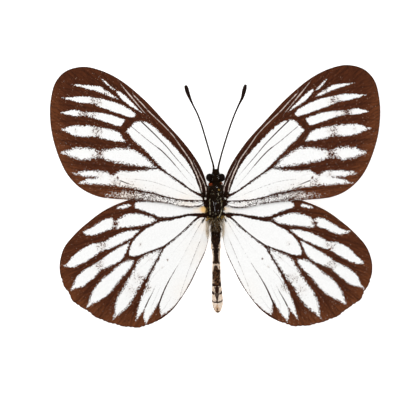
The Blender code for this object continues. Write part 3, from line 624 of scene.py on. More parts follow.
def face_outwards():
    """Turns every face of the active piece outwards."""
    bpy.ops.object.mode_set(mode="EDIT")
    bpy.ops.mesh.select_all(action="SELECT")
    bpy.ops.mesh.normals_make_consistent(inside=False)
    bpy.ops.object.mode_set(mode="OBJECT")


def pull_rim(mesh, outline):
    """Moves the open rim's points onto the outline, each to the nearest place on it."""
    edge_faces = np.zeros(len(mesh.edges), int)
    edge_of_loop = np.zeros(len(mesh.loops), int)
    mesh.loops.foreach_get("edge_index", edge_of_loop)
    np.add.at(edge_faces, edge_of_loop, 1)
    ends = np.zeros(len(mesh.edges) * 2, int)
    mesh.edges.foreach_get("vertices", ends)
    rim = np.unique(ends.reshape(-1, 2)[edge_faces == 1])
    places = mesh_places(mesh)
    rows = np.array(outline + outline[:1])
    for i in rim:
        a, spans = rows[:-1], np.diff(rows, axis=0)
        t = np.clip(((places[i, :2] - a) * spans).sum(1) / (spans**2).sum(1), 0, 1)
        near = a + spans * t[:, None]
        places[i, :2] = near[np.linalg.norm(near - places[i, :2], axis=1).argmin()]
    mesh.vertices.foreach_set("co", (places * MM).ravel())
    mesh.update()


def inward_normals(rows):
    """The unit normals of a closed outline that runs clockwise in plan, pointing inwards."""
    ahead = np.roll(rows, -1, axis=0) - np.roll(rows, 1, axis=0)
    return np.stack([ahead[:, 1], -ahead[:, 0]], axis=1) / np.linalg.norm(ahead, axis=1)[:, None]


def let_out(outline, growth):
    """The outline moved outwards by the width of its fringe."""
    rows = np.array(outline)
    away = rows - rows.mean(0)
    degrees = np.degrees(np.arctan2(away[:, 1], away[:, 0])) % 360
    width = np.interp(degrees, *zip(*growth), period=360)
    return [tuple(row) for row in rows - inward_normals(rows) * width[:, None]]


def scalloped(outline):
    """The hindwing's outline with shallow bays between the fringe tufts of its outer rim."""
    rows = np.array(outline)
    inwards = inward_normals(rows)
    travelled = np.concatenate([[0], np.cumsum(np.linalg.norm(np.diff(rows, axis=0), axis=1))])
    share = np.clip((BAY_START[1] - rows[:, 1]) / BAY_FADE, 0, 1)
    share *= np.clip((rows[:, 0] - BAY_START[0]) / BAY_FADE, 0, 1)
    uneven = 1 - BAY_UNEVEN + BAY_UNEVEN * np.sin(BAY_RHYTHM * travelled)
    bay = BAY_DEPTH * share * np.abs(np.sin(math.pi * travelled / BAY_WIDTH)) * uneven
    return [tuple(row) for row in rows + inwards * bay[:, None]]


def wing_sheet(name, outline):
    """A flat, thick sheet of this outline, in left-wing plan places."""
    rows = np.array(outline)
    low, high = rows.min(0) - SHEET_GRID, rows.max(0) + SHEET_GRID
    counts = np.ceil((high - low) / SHEET_GRID).astype(int)
    across, along = map(int, counts)
    place = (*((low + high) / 2 * MM), 0)
    bpy.ops.object.select_all(action="DESELECT")
    bpy.ops.mesh.primitive_grid_add(x_subdivisions=across, y_subdivisions=along, size=1, location=place)
    sheet = bpy.context.object
    sheet.name = name
    sheet.scale = (*(counts * SHEET_GRID * MM), 1)
    bpy.ops.object.transform_apply(location=True, rotation=True, scale=True)
    mesh = sheet.data
    depth = depth_inside(mesh_places(mesh)[:, :2], outline)
    corners = np.zeros(len(mesh.polygons) * 4, int)
    mesh.loops.foreach_get("vertex_index", corners)
    outside = depth[corners.reshape(-1, 4)].min(axis=1) < -RIM_REACH * SHEET_GRID
    bpy.ops.object.mode_set(mode="EDIT")
    bpy.ops.mesh.select_mode(type="FACE")
    bpy.ops.mesh.select_all(action="DESELECT")
    bpy.ops.object.mode_set(mode="OBJECT")
    mesh.polygons.foreach_set("select", outside)
    bpy.ops.object.mode_set(mode="EDIT")
    bpy.ops.mesh.delete(type="FACE")
    bpy.ops.object.mode_set(mode="OBJECT")
    pull_rim(mesh, outline)
    solidify = sheet.modifiers.new("thickness", "SOLIDIFY")
    solidify.thickness = WING_THICKNESS * MM
    solidify.offset = 0
    bpy.ops.object.modifier_apply(modifier="thickness")
    return sheet


def give_attribute(mesh, name, values):
    mesh.attributes.new(name, "FLOAT", "POINT").data.foreach_set("value", np.asarray(values, np.float32))


def cloud_strength(places, clouds):
    """How strongly any of these round clouds covers each place."""
    found = np.zeros(len(places))
    for u, v, radius, strength in clouds:
        away = np.hypot(places[:, 0] - u, places[:, 1] - v) / radius
        found = np.maximum(found, strength * np.exp(-(away**2)))
    return found


def window_depth(places, windows, steps):
    """How deep each place lies in the windows, and how soft the edge of the deepest window is."""
    depth = np.full(len(places), -np.inf)
    softness = np.zeros(len(places))
    for soft, points in windows.values():
        inside = depth_inside(places, smooth_line(points, steps, closed=True))
        softness = np.where(inside > depth, soft, softness)
        depth = np.maximum(depth, inside)
    return depth, softness


def give_marks(mesh, name, places, marks, fade=1.0):
    """Writes the distance to the nearest mark, and its half-width and strength there."""
    distance, width, strength = line_marks(places, marks)
    for part, values in (("distance", distance), ("width", width), ("strength", strength * fade)):
        give_attribute(mesh, f"{name}_{part}", values)


# The windows' edges are sharper near the body: (mm outwards), (share of the softness)
BASE_SHARPNESS = ((4.0, 13.0), (0.3, 1.0))


def paint_plan(mesh, places, upper, vein_distance, plan, outline, side):
    """Writes what the wing's material reads at each point: how far it is from each part of the pattern."""
    right = side == "right"
    windows = {**plan["white"], **(plan["right_white"] if right else {})}
    depth, softness = window_depth(places, windows, steps=6)
    give_attribute(mesh, "white_depth", depth)
    give_attribute(mesh, "softness", softness * np.interp(places[:, 0], *BASE_SHARPNESS))
    for name in ("thread", "streak"):
        give_marks(mesh, name, places, plan[name])
    give_attribute(mesh, "dust", cloud_strength(places, plan["dust"]))
    give_attribute(mesh, "warm", cloud_strength(places, plan["right_warm" if right else "warm"]))
    give_attribute(mesh, "rim_distance", depth_inside(places, outline))
    give_attribute(mesh, "vein_distance", vein_distance)
    from_root = places - np.array(WING_ROOT)
    give_attribute(mesh, "outwards", np.hypot(*from_root.T))
    give_attribute(mesh, "around", np.arctan2(from_root[:, 1], from_root[:, 0]))
    give_attribute(mesh, "underside", 1.0 - upper)


def shape_wing(sheet, wing, veins):
    """Moves the flat sheet's points to their real places. It returns their plan, face and vein distance."""
    mesh = sheet.data
    flat = mesh_places(mesh)
    places = flat[:, :2].copy()
    upper = (flat[:, 2] > 0).astype(float)
    nearest = np.full(len(places), np.inf)
    for points in veins.values():
        nearest = np.minimum(nearest, np.abs(distance_to_line(places, points)[0]))
    taper = 1 - VEIN_TAPER * places[:, 0] / WING_REACH
    rise = VEIN_RISE * np.clip(1 - (nearest / VEIN_HALF_WIDTH) ** 2, 0, 1) * taper
    u, v = set_wing(places, WING_SETS[wing], TUCKS.get(wing, 0.0)).T
    height = wing_height(u, v) + (WING_LEVEL if "fore" in wing else -WING_LEVEL - inner_fold(u, v))
    height += np.where(upper > 0, 1, -1) * (WING_THICKNESS / 2 + rise)
    x = u if "right" in wing else -u
    mesh.vertices.foreach_set("co", (np.stack([x, v, height], axis=1) * MM).ravel())
    mesh.update()
    select_only(sheet)
    face_outwards()
    bpy.ops.object.shade_smooth_by_angle(angle=math.radians(50))
    return places, upper, nearest


FOREWING = {
    "edge": FOREWING_EDGE, "veins": FOREWING_VEINS, "white": FOREWING_WHITE, "thread": FOREWING_THREADS,
    "streak": PALE_STREAKS, "dust": FOREWING_CLOUDS, "warm": FOREWING_WARMTH,
    "right_white": RIGHT_FOREWING_WHITE, "right_warm": RIGHT_FOREWING_WARMTH,
}
HINDWING = {
    "edge": HINDWING_EDGE, "veins": HINDWING_VEINS, "white": HINDWING_WHITE, "thread": HINDWING_THREADS,
    "streak": BASE_STREAKS, "dust": HINDWING_CLOUDS, "warm": HINDWING_WARMTH,
    "right_white": RIGHT_HINDWING_WHITE, "right_warm": RIGHT_HINDWING_WARMTH,
}
wings = {}
for pair, plan in (("forewing", FOREWING), ("hindwing", HINDWING)):
    for side in ("left", "right"):
        wing = f"{pair}_{side}"
        outline = let_out(smooth_line(plan["edge"], steps=20, closed=True), RIM_GROWTH[wing])
        if pair == "hindwing":
            outline = scalloped(outline)
        sheet = wing_sheet(f"{wing}_scaled", outline)
        places, upper, vein_distance = shape_wing(sheet, wing, plan["veins"])
        paint_plan(sheet.data, places, upper, vein_distance, plan, outline, side)
        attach(sheet, "root")
        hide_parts(wing)
        wings[wing] = sheet
        print(sheet.name, "has", len(sheet.data.vertices), "points")

# %% [markdown]
# ## Wing scales
# Real wing scales are flat plates about 0.1 mm wide. White ones scatter light and look like chalk, brown ones
# hold pigment. A wing's pattern is a mosaic of the two: each scale is either white or brown, so borders look
# ragged up close. The material does the same. It gives each small cell a random number and turns the cell
# white where the share of white there is greater than that number. The cells are 0.19 mm wide, about twice a
# real scale, because finer ones don't show at this distance.

# %% Wing material
SCALE_SIZE = 0.19
TUFT_SIZE = 0.42
TUFT_SHARE = 0.25
# A cell's threshold is its random number times this slope, plus this start
THRESHOLD_SLOPE = 0.74
THRESHOLD_START = 0.04
WANDER_SIZE = 1.3
WANDER_REACH = 0.20
VEIN_MARGIN = 0.095
BROWN_AT_ROOT, BROWN_FARTHER_OUT, BROWN_BORDER = "#220D07", "#542B18", "#6C3C22"
BROWN_SHADE, BROWN_EDGE, STRAY_PALE_SCALE = "#241009", "#2A120A", "#B99A85"
CHALK_DARKER, CHALK_LIGHTER, DUSTED_CHALK, YELLOW_STAIN = "#F1F1F0", "#FAFAF9", "#BFA898", "#F8CC88"
STREAK_COLOUR, THREAD_COLOUR, UNDERSIDE_COLOUR = "#E4D3C8", "#33170D", "#A58F78"


def attribute(tree, name):
    return add_node(tree, "ShaderNodeAttribute", attribute_name=name).outputs["Fac"]


def mark_share(tree, name, low, high):
    """How strongly a thin mark covers a place, from its signed distance and its half-width there."""
    distance = calculate(tree, "ABSOLUTE", attribute(tree, f"{name}_distance"))
    width = calculate(tree, "ADD", attribute(tree, f"{name}_width"), 0.001)
    share = step_down(tree, calculate(tree, "DIVIDE", distance, width), low, high)
    return calculate(tree, "MULTIPLY", share, attribute(tree, f"{name}_strength"))


def brown_scales(tree, chance, tint):
    """Nearly black at the root and along the front edge, and russet towards the outer border."""
    outwards, around = attribute(tree, "outwards"), attribute(tree, "around")
    along = calculate(tree, "MULTIPLY", outwards, 0.30)
    across = calculate(tree, "MULTIPLY", around, 75.0)
    rows = add_node(tree, "ShaderNodeCombineXYZ", {"X": along, "Y": across}).outputs[0]
    inputs = {"Vector": rows, "Scale": 1.0, "Detail": 4.0, "Roughness": 0.65}
    streaky = add_node(tree, "ShaderNodeTexNoise", inputs).outputs["Fac"]
    farther = step_between(tree, outwards, 3.0, 24.0)
    brown = mix_colours(tree, farther, linear(BROWN_AT_ROOT), linear(BROWN_FARTHER_OUT))

    rim = step_down(tree, attribute(tree, "rim_distance"), 0.6, 5.0)
    rim = calculate(tree, "MULTIPLY", rim, step_down(tree, around, 0.50, 0.78))
    rim = calculate(tree, "MULTIPLY", rim, step_between(tree, outwards, 16.0, 23.0))
    hind_apex = step_between(tree, around, -0.55, -0.30)
    hind_apex = calculate(tree, "SUBTRACT", hind_apex, step_between(tree, around, -0.05, 0.05))
    rim = calculate(tree, "MULTIPLY", rim, calculate(tree, "MULTIPLY_ADD", hind_apex, -0.7, 1.0))
    brown = mix_colours(tree, rim, brown, linear(BROWN_BORDER))

    shade = calculate(tree, "MULTIPLY_ADD", tint, 0.35, -0.52)
    shade = calculate(tree, "MULTIPLY_ADD", streaky, 2.1, shade)
    vein = step_down(tree, attribute(tree, "vein_distance"), 0.0, 0.35)
    vein = calculate(tree, "MULTIPLY_ADD", vein, -0.40, 1.0)
    shade = calculate(tree, "MULTIPLY", shade, vein, clamp=True)
    brown = mix_colours(tree, shade, linear(BROWN_SHADE), brown)
    edge = step_down(tree, attribute(tree, "rim_distance"), 0.05, 0.30)
    brown = mix_colours(tree, calculate(tree, "MULTIPLY", edge, 0.5), brown, linear(BROWN_EDGE))
    stray = calculate(tree, "MULTIPLY_ADD", attribute(tree, "white_depth"), 0.01, chance)
    stray = calculate(tree, "MULTIPLY", step_between(tree, stray, 0.965, 0.985), 0.38)
    return mix_colours(tree, stray, brown, linear(STRAY_PALE_SCALE))


def white_scales(tree, tint, tuft_tint, dust):
    """Chalk, dusted with brown and with a trace of yellow near the body."""
    chalk = mix_colours(tree, tint, linear(CHALK_DARKER), linear(CHALK_LIGHTER))
    dusted = calculate(tree, "MULTIPLY", dust, 0.55, clamp=True)
    chalk = mix_colours(tree, dusted, chalk, linear(DUSTED_CHALK))
    patchy = calculate(tree, "MULTIPLY_ADD", tuft_tint, 0.5, 0.75)
    warm = calculate(tree, "MULTIPLY", attribute(tree, "warm"), patchy, clamp=True)
    return mix_colours(tree, warm, chalk, linear(YELLOW_STAIN))


def wing_scale_material():
    material, shader = new_material("butterfly_wing_scales", Roughness=0.85, Specular_IOR_Level=0.06)
    tree = material.node_tree
    place = object_place(tree)
    chance, tint, middle = cell_chance(tree, place, SCALE_SIZE)
    tuft_chance, tuft_tint, _ = cell_chance(tree, place, TUFT_SIZE)
    threshold = calculate(tree, "MULTIPLY_ADD", tuft_chance, TUFT_SHARE, chance)
    threshold = calculate(tree, "MULTIPLY_ADD", threshold, THRESHOLD_SLOPE, THRESHOLD_START)
    wander = calculate(tree, "SUBTRACT", noise(tree, place, WANDER_SIZE, detail=3.0), 0.5)
    softness = attribute(tree, "softness")

    # The share of white scales, from how deep the place is in a window and how soft that window is
    depth = calculate(tree, "SUBTRACT", attribute(tree, "white_depth"), VEIN_MARGIN)
    share = calculate(tree, "DIVIDE", depth, calculate(tree, "ADD", softness, 0.02))
    share = calculate(tree, "MULTIPLY_ADD", wander, WANDER_REACH * 2, share)
    share = calculate(tree, "ADD", share, 0.5, clamp=True)
    patchy = calculate(tree, "MULTIPLY_ADD", wander, 1.6, 1.0)
    dust = calculate(tree, "MULTIPLY", attribute(tree, "dust"), patchy)
    share = calculate(tree, "MULTIPLY", share, calculate(tree, "SUBTRACT", 1.0, dust, clamp=True))
    blur = calculate(tree, "MULTIPLY_ADD", softness, 0.08, 0.05)
    white = calculate(tree, "SUBTRACT", share, threshold)
    white = step_between(tree, white, calculate(tree, "MULTIPLY", blur, -1.0), blur)
    chalk = white_scales(tree, tint, tuft_tint, dust)
    colour = mix_colours(tree, white, brown_scales(tree, chance, tint), chalk)

    # Thin marks lie over both, broken up by the same cells
    broken = step_between(tree, calculate(tree, "MULTIPLY_ADD", wander, 1.2, chance), 0.0, 0.50)
    broken = calculate(tree, "MULTIPLY_ADD", broken, 0.9, 0.1)
    streak = calculate(tree, "MULTIPLY", mark_share(tree, "streak", 0.4, 1.2), broken)
    colour = mix_colours(tree, streak, colour, linear(STREAK_COLOUR))
    broken = calculate(tree, "MULTIPLY", chance, -0.45)
    thread = calculate(tree, "MULTIPLY_ADD", mark_share(tree, "thread", 0.4, 1.15), 1.3, broken)
    colour = mix_colours(tree, step_between(tree, thread, 0.0, 0.65), colour, linear(THREAD_COLOUR))

    # The underside is the same pattern, paler and greyer
    dulled = mix_colours(tree, 0.30, colour, linear(UNDERSIDE_COLOUR))
    colour = mix_colours(tree, attribute(tree, "underside"), colour, dulled)
    link_surface(tree, shader, colour, middle, strength=0.30, depth=0.02)
    return material


wing_material = wing_scale_material()
for sheet in wings.values():
    sheet.data.materials.clear()
    sheet.data.materials.append(wing_material)

# %% [markdown]
# ## The body's shell
# An insect's body is a row of rings. Each part is made the way a potter would: one ring is drawn, extruded
# backwards and widened or narrowed, station after station, then closed at both ends and subdivided once to
# round it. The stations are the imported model's, with the abdomen's joints cut deeper between its rings.

# %% Loft helper
THORAX_STATIONS = [
    (5.95, 0.16, 1.15, 2.4, 4.4), (5.5, 0.15, 1.72, 1.6, 5.0), (4.5, 0.14, 1.96, 0.6, 5.7),
    (2.6, 0.10, 2.10, -0.05, 6.2), (0.5, 0.10, 2.06, 0.06, 6.3), (-1.5, 0.10, 1.94, 0.06, 6.1),
    (-3.2, 0.12, 1.80, 0.3, 5.6), (-4.4, 0.14, 1.52, 1.1, 5.0), (-5.1, 0.15, 1.05, 1.8, 4.3),
]
HEAD_STATIONS = [
    (8.55, 0.20, 0.36, 3.4, 4.5), (8.2, 0.20, 0.84, 2.95, 4.9), (7.5, 0.18, 1.12, 2.7, 5.1),
    (6.6, 0.16, 1.22, 2.6, 5.2), (5.9, 0.15, 1.28, 2.6, 5.0), (5.2, 0.14, 1.20, 2.6, 4.7),
]
ABDOMEN_PROFILE = [
    (-4.9, 0.14, 0.80, 3.30, 0.70), (-5.6, 0.17, 1.30, 3.20, 1.15), (-7.6, 0.20, 1.18, 3.00, 1.32),
    (-9.5, 0.18, 1.18, 2.80, 1.36), (-11.2, 0.20, 1.22, 2.66, 1.38), (-11.5, 0.27, 1.06, 2.62, 1.25),
    (-13.0, 0.34, 0.94, 2.45, 1.22), (-14.8, 0.34, 0.98, 2.28, 1.24), (-16.2, 0.34, 1.05, 2.10, 1.24),
    (-18.2, 0.36, 1.06, 1.95, 1.24), (-20.4, 0.42, 1.16, 1.76, 1.28), (-22.3, 0.52, 1.30, 1.60, 1.32),
    (-23.6, 0.60, 1.36, 1.50, 1.34), (-24.4, 0.62, 1.40, 1.44, 1.34), (-25.4, 0.65, 1.30, 1.38, 1.24),
    (-26.0, 0.66, 1.14, 1.35, 1.10), (-26.7, 0.68, 0.86, 1.31, 0.85), (-27.15, 0.70, 0.58, 1.28, 0.55),
    (-27.38, 0.71, 0.24, 1.27, 0.2),
]
ABDOMEN_JOINTS = [-7.6, -9.5, -11.35, -15.0, -17.8, -20.6, -22.7, -24.65]


def finish_piece(piece, material, replaced=None, angle=60.0):
    """Smooths a piece, gives it its material and hands it to the frame."""
    select_only(piece)
    bpy.ops.object.shade_smooth_by_angle(angle=math.radians(angle))
    piece.data.materials.clear()
    piece.data.materials.append(material)
    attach(piece, "root")
    if replaced:
        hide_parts(replaced)
    print(piece.name, "has", len(piece.data.polygons), "faces")
    return piece


def loft(name, stations, sides):
    """A closed body of oval rings. A station is y, the middle's x, the half-width, the lowest and highest z."""
    upright = (math.pi / 2, 0, 0)
    bpy.ops.object.select_all(action="DESELECT")
    bpy.ops.mesh.primitive_circle_add(vertices=sides, radius=MM, fill_type="NGON", rotation=upright)
    piece = bpy.context.object
    piece.name = name
    bpy.ops.object.transform_apply(location=True, rotation=True, scale=True)
    bpy.ops.object.mode_set(mode="EDIT")
    bpy.ops.mesh.select_all(action="SELECT")
    now = (0.0, 0.0, 0.0, 1.0, 1.0)
    for i, (y, x, half_width, low, high) in enumerate(stations):
        middle, half_height = (low + high) / 2, (high - low) / 2
        if i:
            bpy.ops.mesh.extrude_region_move()
        bpy.ops.transform.translate(value=((x - now[0]) * MM, (y - now[1]) * MM, (middle - now[2]) * MM))
        growth = (half_width / now[3], 1, half_height / now[4])
        bpy.ops.transform.resize(value=growth, center_override=(x * MM, y * MM, middle * MM))
        now = (x, y, middle, half_width, half_height)
    face_outwards()
    rounding = piece.modifiers.new("rounding", "SUBSURF")
    rounding.levels = rounding.render_levels = 1
    bpy.ops.object.modifier_apply(modifier="rounding")
    return piece


# %% [markdown]
# The bare shell shows only in small glints between the hairs: brown-black chitin, a hard natural plastic with
# a low gloss. Noise makes it uneven.

# %% Chitin material, thorax and head
def chitin_material(name, dark, light, size):
    material, shader = new_material(name, Roughness=0.45, Specular_IOR_Level=0.04)
    tree = material.node_tree
    grain = noise(tree, object_place(tree), size, detail=5.0)
    colour = mix_colours(tree, step_between(tree, grain, 0.35, 0.70), linear(dark), linear(light))
    link_surface(tree, shader, colour, grain, strength=0.5, depth=0.05)
    return material


body_chitin = chitin_material("thorax_chitin", "#0A0502", "#20130A", 0.35)
limb_chitin = chitin_material("limb_chitin", "#0E0705", "#2A1810", 0.25)
thorax = finish_piece(loft("thorax_shell", THORAX_STATIONS, 32), body_chitin, "thorax")
head = finish_piece(loft("head_shell", HEAD_STATIONS, 24), body_chitin, "head")

# %% [markdown]
# ## The abdomen
# Its back is brown-black in front. Behind the middle, each ring is cream with a dark stripe along the middle
# and a dark line at each joint. These marks are drawn in plan as the wings' are.

# %% Abdomen
JOINT_PINCH = 0.10
JOINT_WIDTH = 0.10
JOINT_SHIFT = 0.06
REAR_FLARE = 0.035
REAR_FLARE_REACH = 0.45
STATION_STEP = 0.2
STATION_FIRST, STATION_LAST = -26.8, -5.6
ABDOMEN_FRONT = -4.9
ABDOMEN_SIDES = 40
ABDOMEN_CELLS = 0.14
ABDOMEN_BLOTCH = 0.5
DARK_BACK, BROWN_BACK, DARK_PATCH = "#24120A", "#5E3E26", "#120804"
CREAM_FRONT, CREAM_REAR, GREY_CREAM = "#DCC6B0", "#ECDAC8", "#A8937F"
TAN_STAIN, DARK_LINE = "#B58552", "#26130A"
# A window is (how soft its edge is, its outline), and a mark is as on the wings
ABDOMEN_CREAM = {
    "left_flank_1": (0.5, [(-1.4, -9.2), (-0.78, -9.9), (-0.58, -10.6), (-0.55, -11.3), (-1.4, -11.5)]),
    "right_flank_1": (0.5, [(1.7, -9.2), (1.15, -9.9), (1.0, -10.6), (1.05, -11.3), (1.8, -11.5)]),
    "left_flank_2": (0.3, [(-1.4, -11.5), (-0.5, -11.7), (-0.32, -12.8), (-0.32, -13.6), (-0.5, -14.5),
        (-1.4, -14.9)]),
    "right_flank_2": (0.3, [(1.9, -11.5), (1.02, -11.7), (0.88, -12.8), (0.88, -13.6), (1.05, -14.5),
        (1.9, -14.9)]),
    "ring_3": (0.16, [(-1.2, -15.0), (-1.2, -15.0), (2.0, -15.0), (2.0, -15.0), (2.0, -15.28),
        (2.0, -15.28), (-1.2, -15.28), (-1.2, -15.28)]),
    "left_shoulder_3": (0.25, [(-1.2, -15.2), (0.1, -15.25), (-0.2, -15.7), (-0.42, -16.4), (-0.55, -16.9),
        (-1.2, -16.7)]),
    "right_shoulder_3": (0.25, [(0.45, -15.25), (1.9, -15.2), (1.9, -16.4), (1.15, -16.5), (0.80, -16.2),
        (0.75, -15.7)]),
    "left_flank_4": (1.0, [(-1.2, -18.7), (-0.66, -18.9), (-0.46, -19.3), (-0.46, -19.8), (-1.2, -20.0)]),
    "right_edge_4": (0.5, [(1.5, -17.4), (1.32, -18.2), (1.36, -19.4), (2.0, -19.6), (2.0, -17.4)]),
    "ring_5": (0.2, [(-1.2, -20.68), (-1.2, -20.68), (2.2, -20.68), (2.2, -20.68), (2.2, -22.6),
        (2.2, -22.6), (-1.2, -22.6), (-1.2, -22.6)]),
    "ring_6": (0.15, [(-1.2, -22.55), (-1.2, -22.55), (2.4, -22.55), (2.4, -22.55), (2.4, -24.6),
        (2.4, -24.6), (-1.2, -24.6), (-1.2, -24.6)]),
    "tip": (0.25, [(-1.2, -24.6), (-1.2, -24.6), (2.4, -24.6), (2.4, -24.6), (2.2, -26.4), (1.6, -27.3),
        (-0.2, -27.3), (-0.9, -26.4)]),
}
ABDOMEN_MARKS = [
    (0.20, 0.56, 1.0, 1.0, [(0.42, -20.55), (0.48, -20.9), (0.50, -21.2)]),
    (0.56, 0.54, 1.0, 1.0, [(0.50, -21.2), (0.50, -21.9)]),
    (0.54, 0.36, 1.0, 1.0, [(0.50, -21.9), (0.52, -22.55)]),
    (0.62, 0.32, 0.9, 1.0, [(0.50, -22.7), (0.50, -23.1), (0.52, -23.6)]),
    (0.32, 0.18, 1.0, 0.85, [(0.52, -23.6), (0.55, -24.0), (0.57, -24.5)]),
    (0.30, 0.34, 1.0, 1.0, [(-0.62, -22.15), (-0.48, -22.3), (-0.44, -22.42)]),
    (0.28, 0.24, 1.0, 1.0, [(1.72, -22.1), (1.55, -22.35), (1.42, -22.5)]),
    (0.16, 0.12, 1.0, 0.7, [(1.42, -22.5), (1.06, -22.62), (0.75, -22.68)]),
    (0.11, 0.09, 0.7, 0.6, [(-0.4, -22.5), (-0.1, -22.68), (0.2, -22.7)]),
    (0.12, 0.20, 0.9, 1.0, [(-0.74, -24.15), (-0.6, -24.45), (-0.3, -24.62), (0.1, -24.66)]),
    (0.20, 0.20, 1.0, 1.0, [(0.1, -24.66), (0.62, -24.68), (1.1, -24.62)]),
    (0.20, 0.12, 1.0, 0.9, [(1.1, -24.62), (1.45, -24.5), (1.9, -24.15)]),
    (0.28, 0.26, 1.0, 1.0, [(-0.75, -20.4), (-0.5, -20.4), (-0.1, -20.35)]),
    (0.18, 0.18, 1.0, 1.0, [(-0.1, -20.38), (0.6, -20.38), (1.2, -20.35)]),
    (0.28, 0.30, 1.0, 1.0, [(1.38, -20.0), (1.40, -20.45)]),
    (0.15, 0.15, 0.8, 0.8, [(-0.12, -20.95), (-0.10, -21.15)]),
    (0.13, 0.13, 0.7, 0.7, [(1.10, -20.85), (1.08, -21.0)]),
    (0.14, 0.14, 0.7, 0.7, [(1.14, -15.75), (1.12, -16.0)]),
    (0.16, 0.19, 0.8, 0.9, [(0.58, -26.25), (0.60, -26.6)]),
    (0.20, 0.22, 0.9, 1.0, [(0.5, -27.12), (0.9, -27.12)]),
    (0.10, 0.15, 0.3, 0.7, [(-0.45, -25.3), (-0.38, -26.1), (-0.12, -26.65)]),
    (0.08, 0.07, 0.6, 0.3, [(0.60, -24.85), (0.58, -25.4)]),
]

ABDOMEN_WARMTH = [(0.58, -25.5, 0.28, 0.8), (0.6, -26.2, 0.5, 0.9), (0.7, -26.9, 0.8, 0.7)]
BELLY_TOP = 0.1
BELLY_FADE = 0.4
BELLY_LINE = 0.12


def abdomen_stations():
    """Stations every fifth of a millimetre, pinched in at each joint and flared just in front of it."""
    rows = np.array(ABDOMEN_PROFILE)
    found = []
    ends = [row[0] for row in ABDOMEN_PROFILE]
    even = np.round(np.arange(STATION_FIRST, STATION_LAST, STATION_STEP), 2)
    for y in sorted({*even, *ABDOMEN_JOINTS, *ends[-4:], *ends[:2]}, reverse=True):
        x, half_width, middle, half_height = (np.interp(-y, -rows[:, 0], rows[:, k]) for k in range(1, 5))
        swell = 1.0
        for joint in ABDOMEN_JOINTS:
            swell -= JOINT_PINCH * math.exp(-(((y - joint + JOINT_SHIFT) / JOINT_WIDTH) ** 2))
            if y > joint:
                swell += REAR_FLARE * math.exp(-(y - joint) / REAR_FLARE_REACH)
        half_height *= swell
        found.append((y, x, half_width * swell, middle - half_height, middle + half_height))
    return found


def abdomen_material():
    material, shader = new_material("abdomen_scales_and_chitin", Roughness=0.62, Specular_IOR_Level=0.04)
    tree = material.node_tree
    place = object_place(tree)
    chance, _, middle = cell_chance(tree, place, ABDOMEN_CELLS)
    wander = calculate(tree, "SUBTRACT", noise(tree, place, ABDOMEN_BLOTCH, detail=4.0), 0.5)
    depth = calculate(tree, "MULTIPLY_ADD", wander, 0.25, attribute(tree, "white_depth"))
    share = calculate(tree, "DIVIDE", depth, calculate(tree, "ADD", attribute(tree, "softness"), 0.02))
    share = calculate(tree, "ADD", share, 0.5, clamp=True)
    cream = calculate(tree, "SUBTRACT", share, calculate(tree, "MULTIPLY_ADD", chance, 0.8, 0.1))
    cream = step_between(tree, cream, -0.10, 0.15)

    # The bare back is brown-black in front and browner behind, in patches
    back = attribute(tree, "outwards")
    farther = step_between(tree, calculate(tree, "MULTIPLY_ADD", wander, 5.0, back), 8.0, 15.0)
    shell = mix_colours(tree, farther, linear(DARK_BACK), linear(BROWN_BACK))
    patchy = calculate(tree, "MULTIPLY_ADD", wander, 4.0, 0.5, clamp=True)
    shell = mix_colours(tree, patchy, linear(DARK_PATCH), shell)

    # The cream scales are cleanest behind
    hair = mix_colours(tree, step_between(tree, back, 17.0, 20.5), linear(CREAM_FRONT), linear(CREAM_REAR))
    patchy = calculate(tree, "MULTIPLY_ADD", wander, 2.6, 0.15, clamp=True)
    hair = mix_colours(tree, patchy, hair, linear(GREY_CREAM))
    hair = mix_colours(tree, attribute(tree, "warm"), hair, linear(TAN_STAIN))
    colour = mix_colours(tree, cream, shell, hair)
    colour = mix_colours(tree, mark_share(tree, "thread", 0.75, 1.1), colour, linear(DARK_LINE))
    link_surface(tree, shader, colour, middle, strength=0.35, depth=0.03)
    return material


def paint_abdomen(mesh):
    """Writes what the abdomen's material reads. The belly is cream, with a dark line at each joint."""
    places = mesh_places(mesh)
    depth, softness = window_depth(places[:, :2], ABDOMEN_CREAM, steps=4)
    rows = np.array(ABDOMEN_PROFILE)
    middle = np.interp(-places[:, 1], -rows[:, 0], rows[:, 3])
    belly = np.clip((middle - BELLY_TOP - places[:, 2]) / BELLY_FADE, 0, 1)
    joint = np.abs(places[:, 1:2] - np.array([ABDOMEN_JOINTS])).min(axis=1)
    depth = depth + (np.where(joint < BELLY_LINE, -0.3, 0.8) - depth) * belly
    give_attribute(mesh, "white_depth", depth)
    give_attribute(mesh, "softness", softness + 0.1)
    give_marks(mesh, "thread", places[:, :2], ABDOMEN_MARKS, 1 - belly)
    give_attribute(mesh, "warm", cloud_strength(places[:, :2], ABDOMEN_WARMTH))
    give_attribute(mesh, "outwards", ABDOMEN_FRONT - places[:, 1])


abdomen = loft("abdomen_rings", abdomen_stations(), ABDOMEN_SIDES)
paint_abdomen(abdomen.data)
finish_piece(abdomen, abdomen_material(), "abdomen")

# %% [markdown]
# ## Eyes
# A butterfly's eye is a dome of thousands of tiny lenses. It is brown-black and glossy, and a honeycomb of
# fine bumps breaks its highlight. The lenses are drawn 0.06 mm wide, about twice their real width, so that
# they show at all.

# %% Eyes
# An eye is (how far out its middle is, its half-width)
EYES = {"left": (-1.33, 0.96), "right": (1.65, 0.90)}
# The rest of the middle and of the half-sizes is the same for both: towards the head, and upwards
EYE_MIDDLE = (6.62, 4.0)
EYE_HALF = (1.03, 1.05)
LENS_SIZE = 0.06

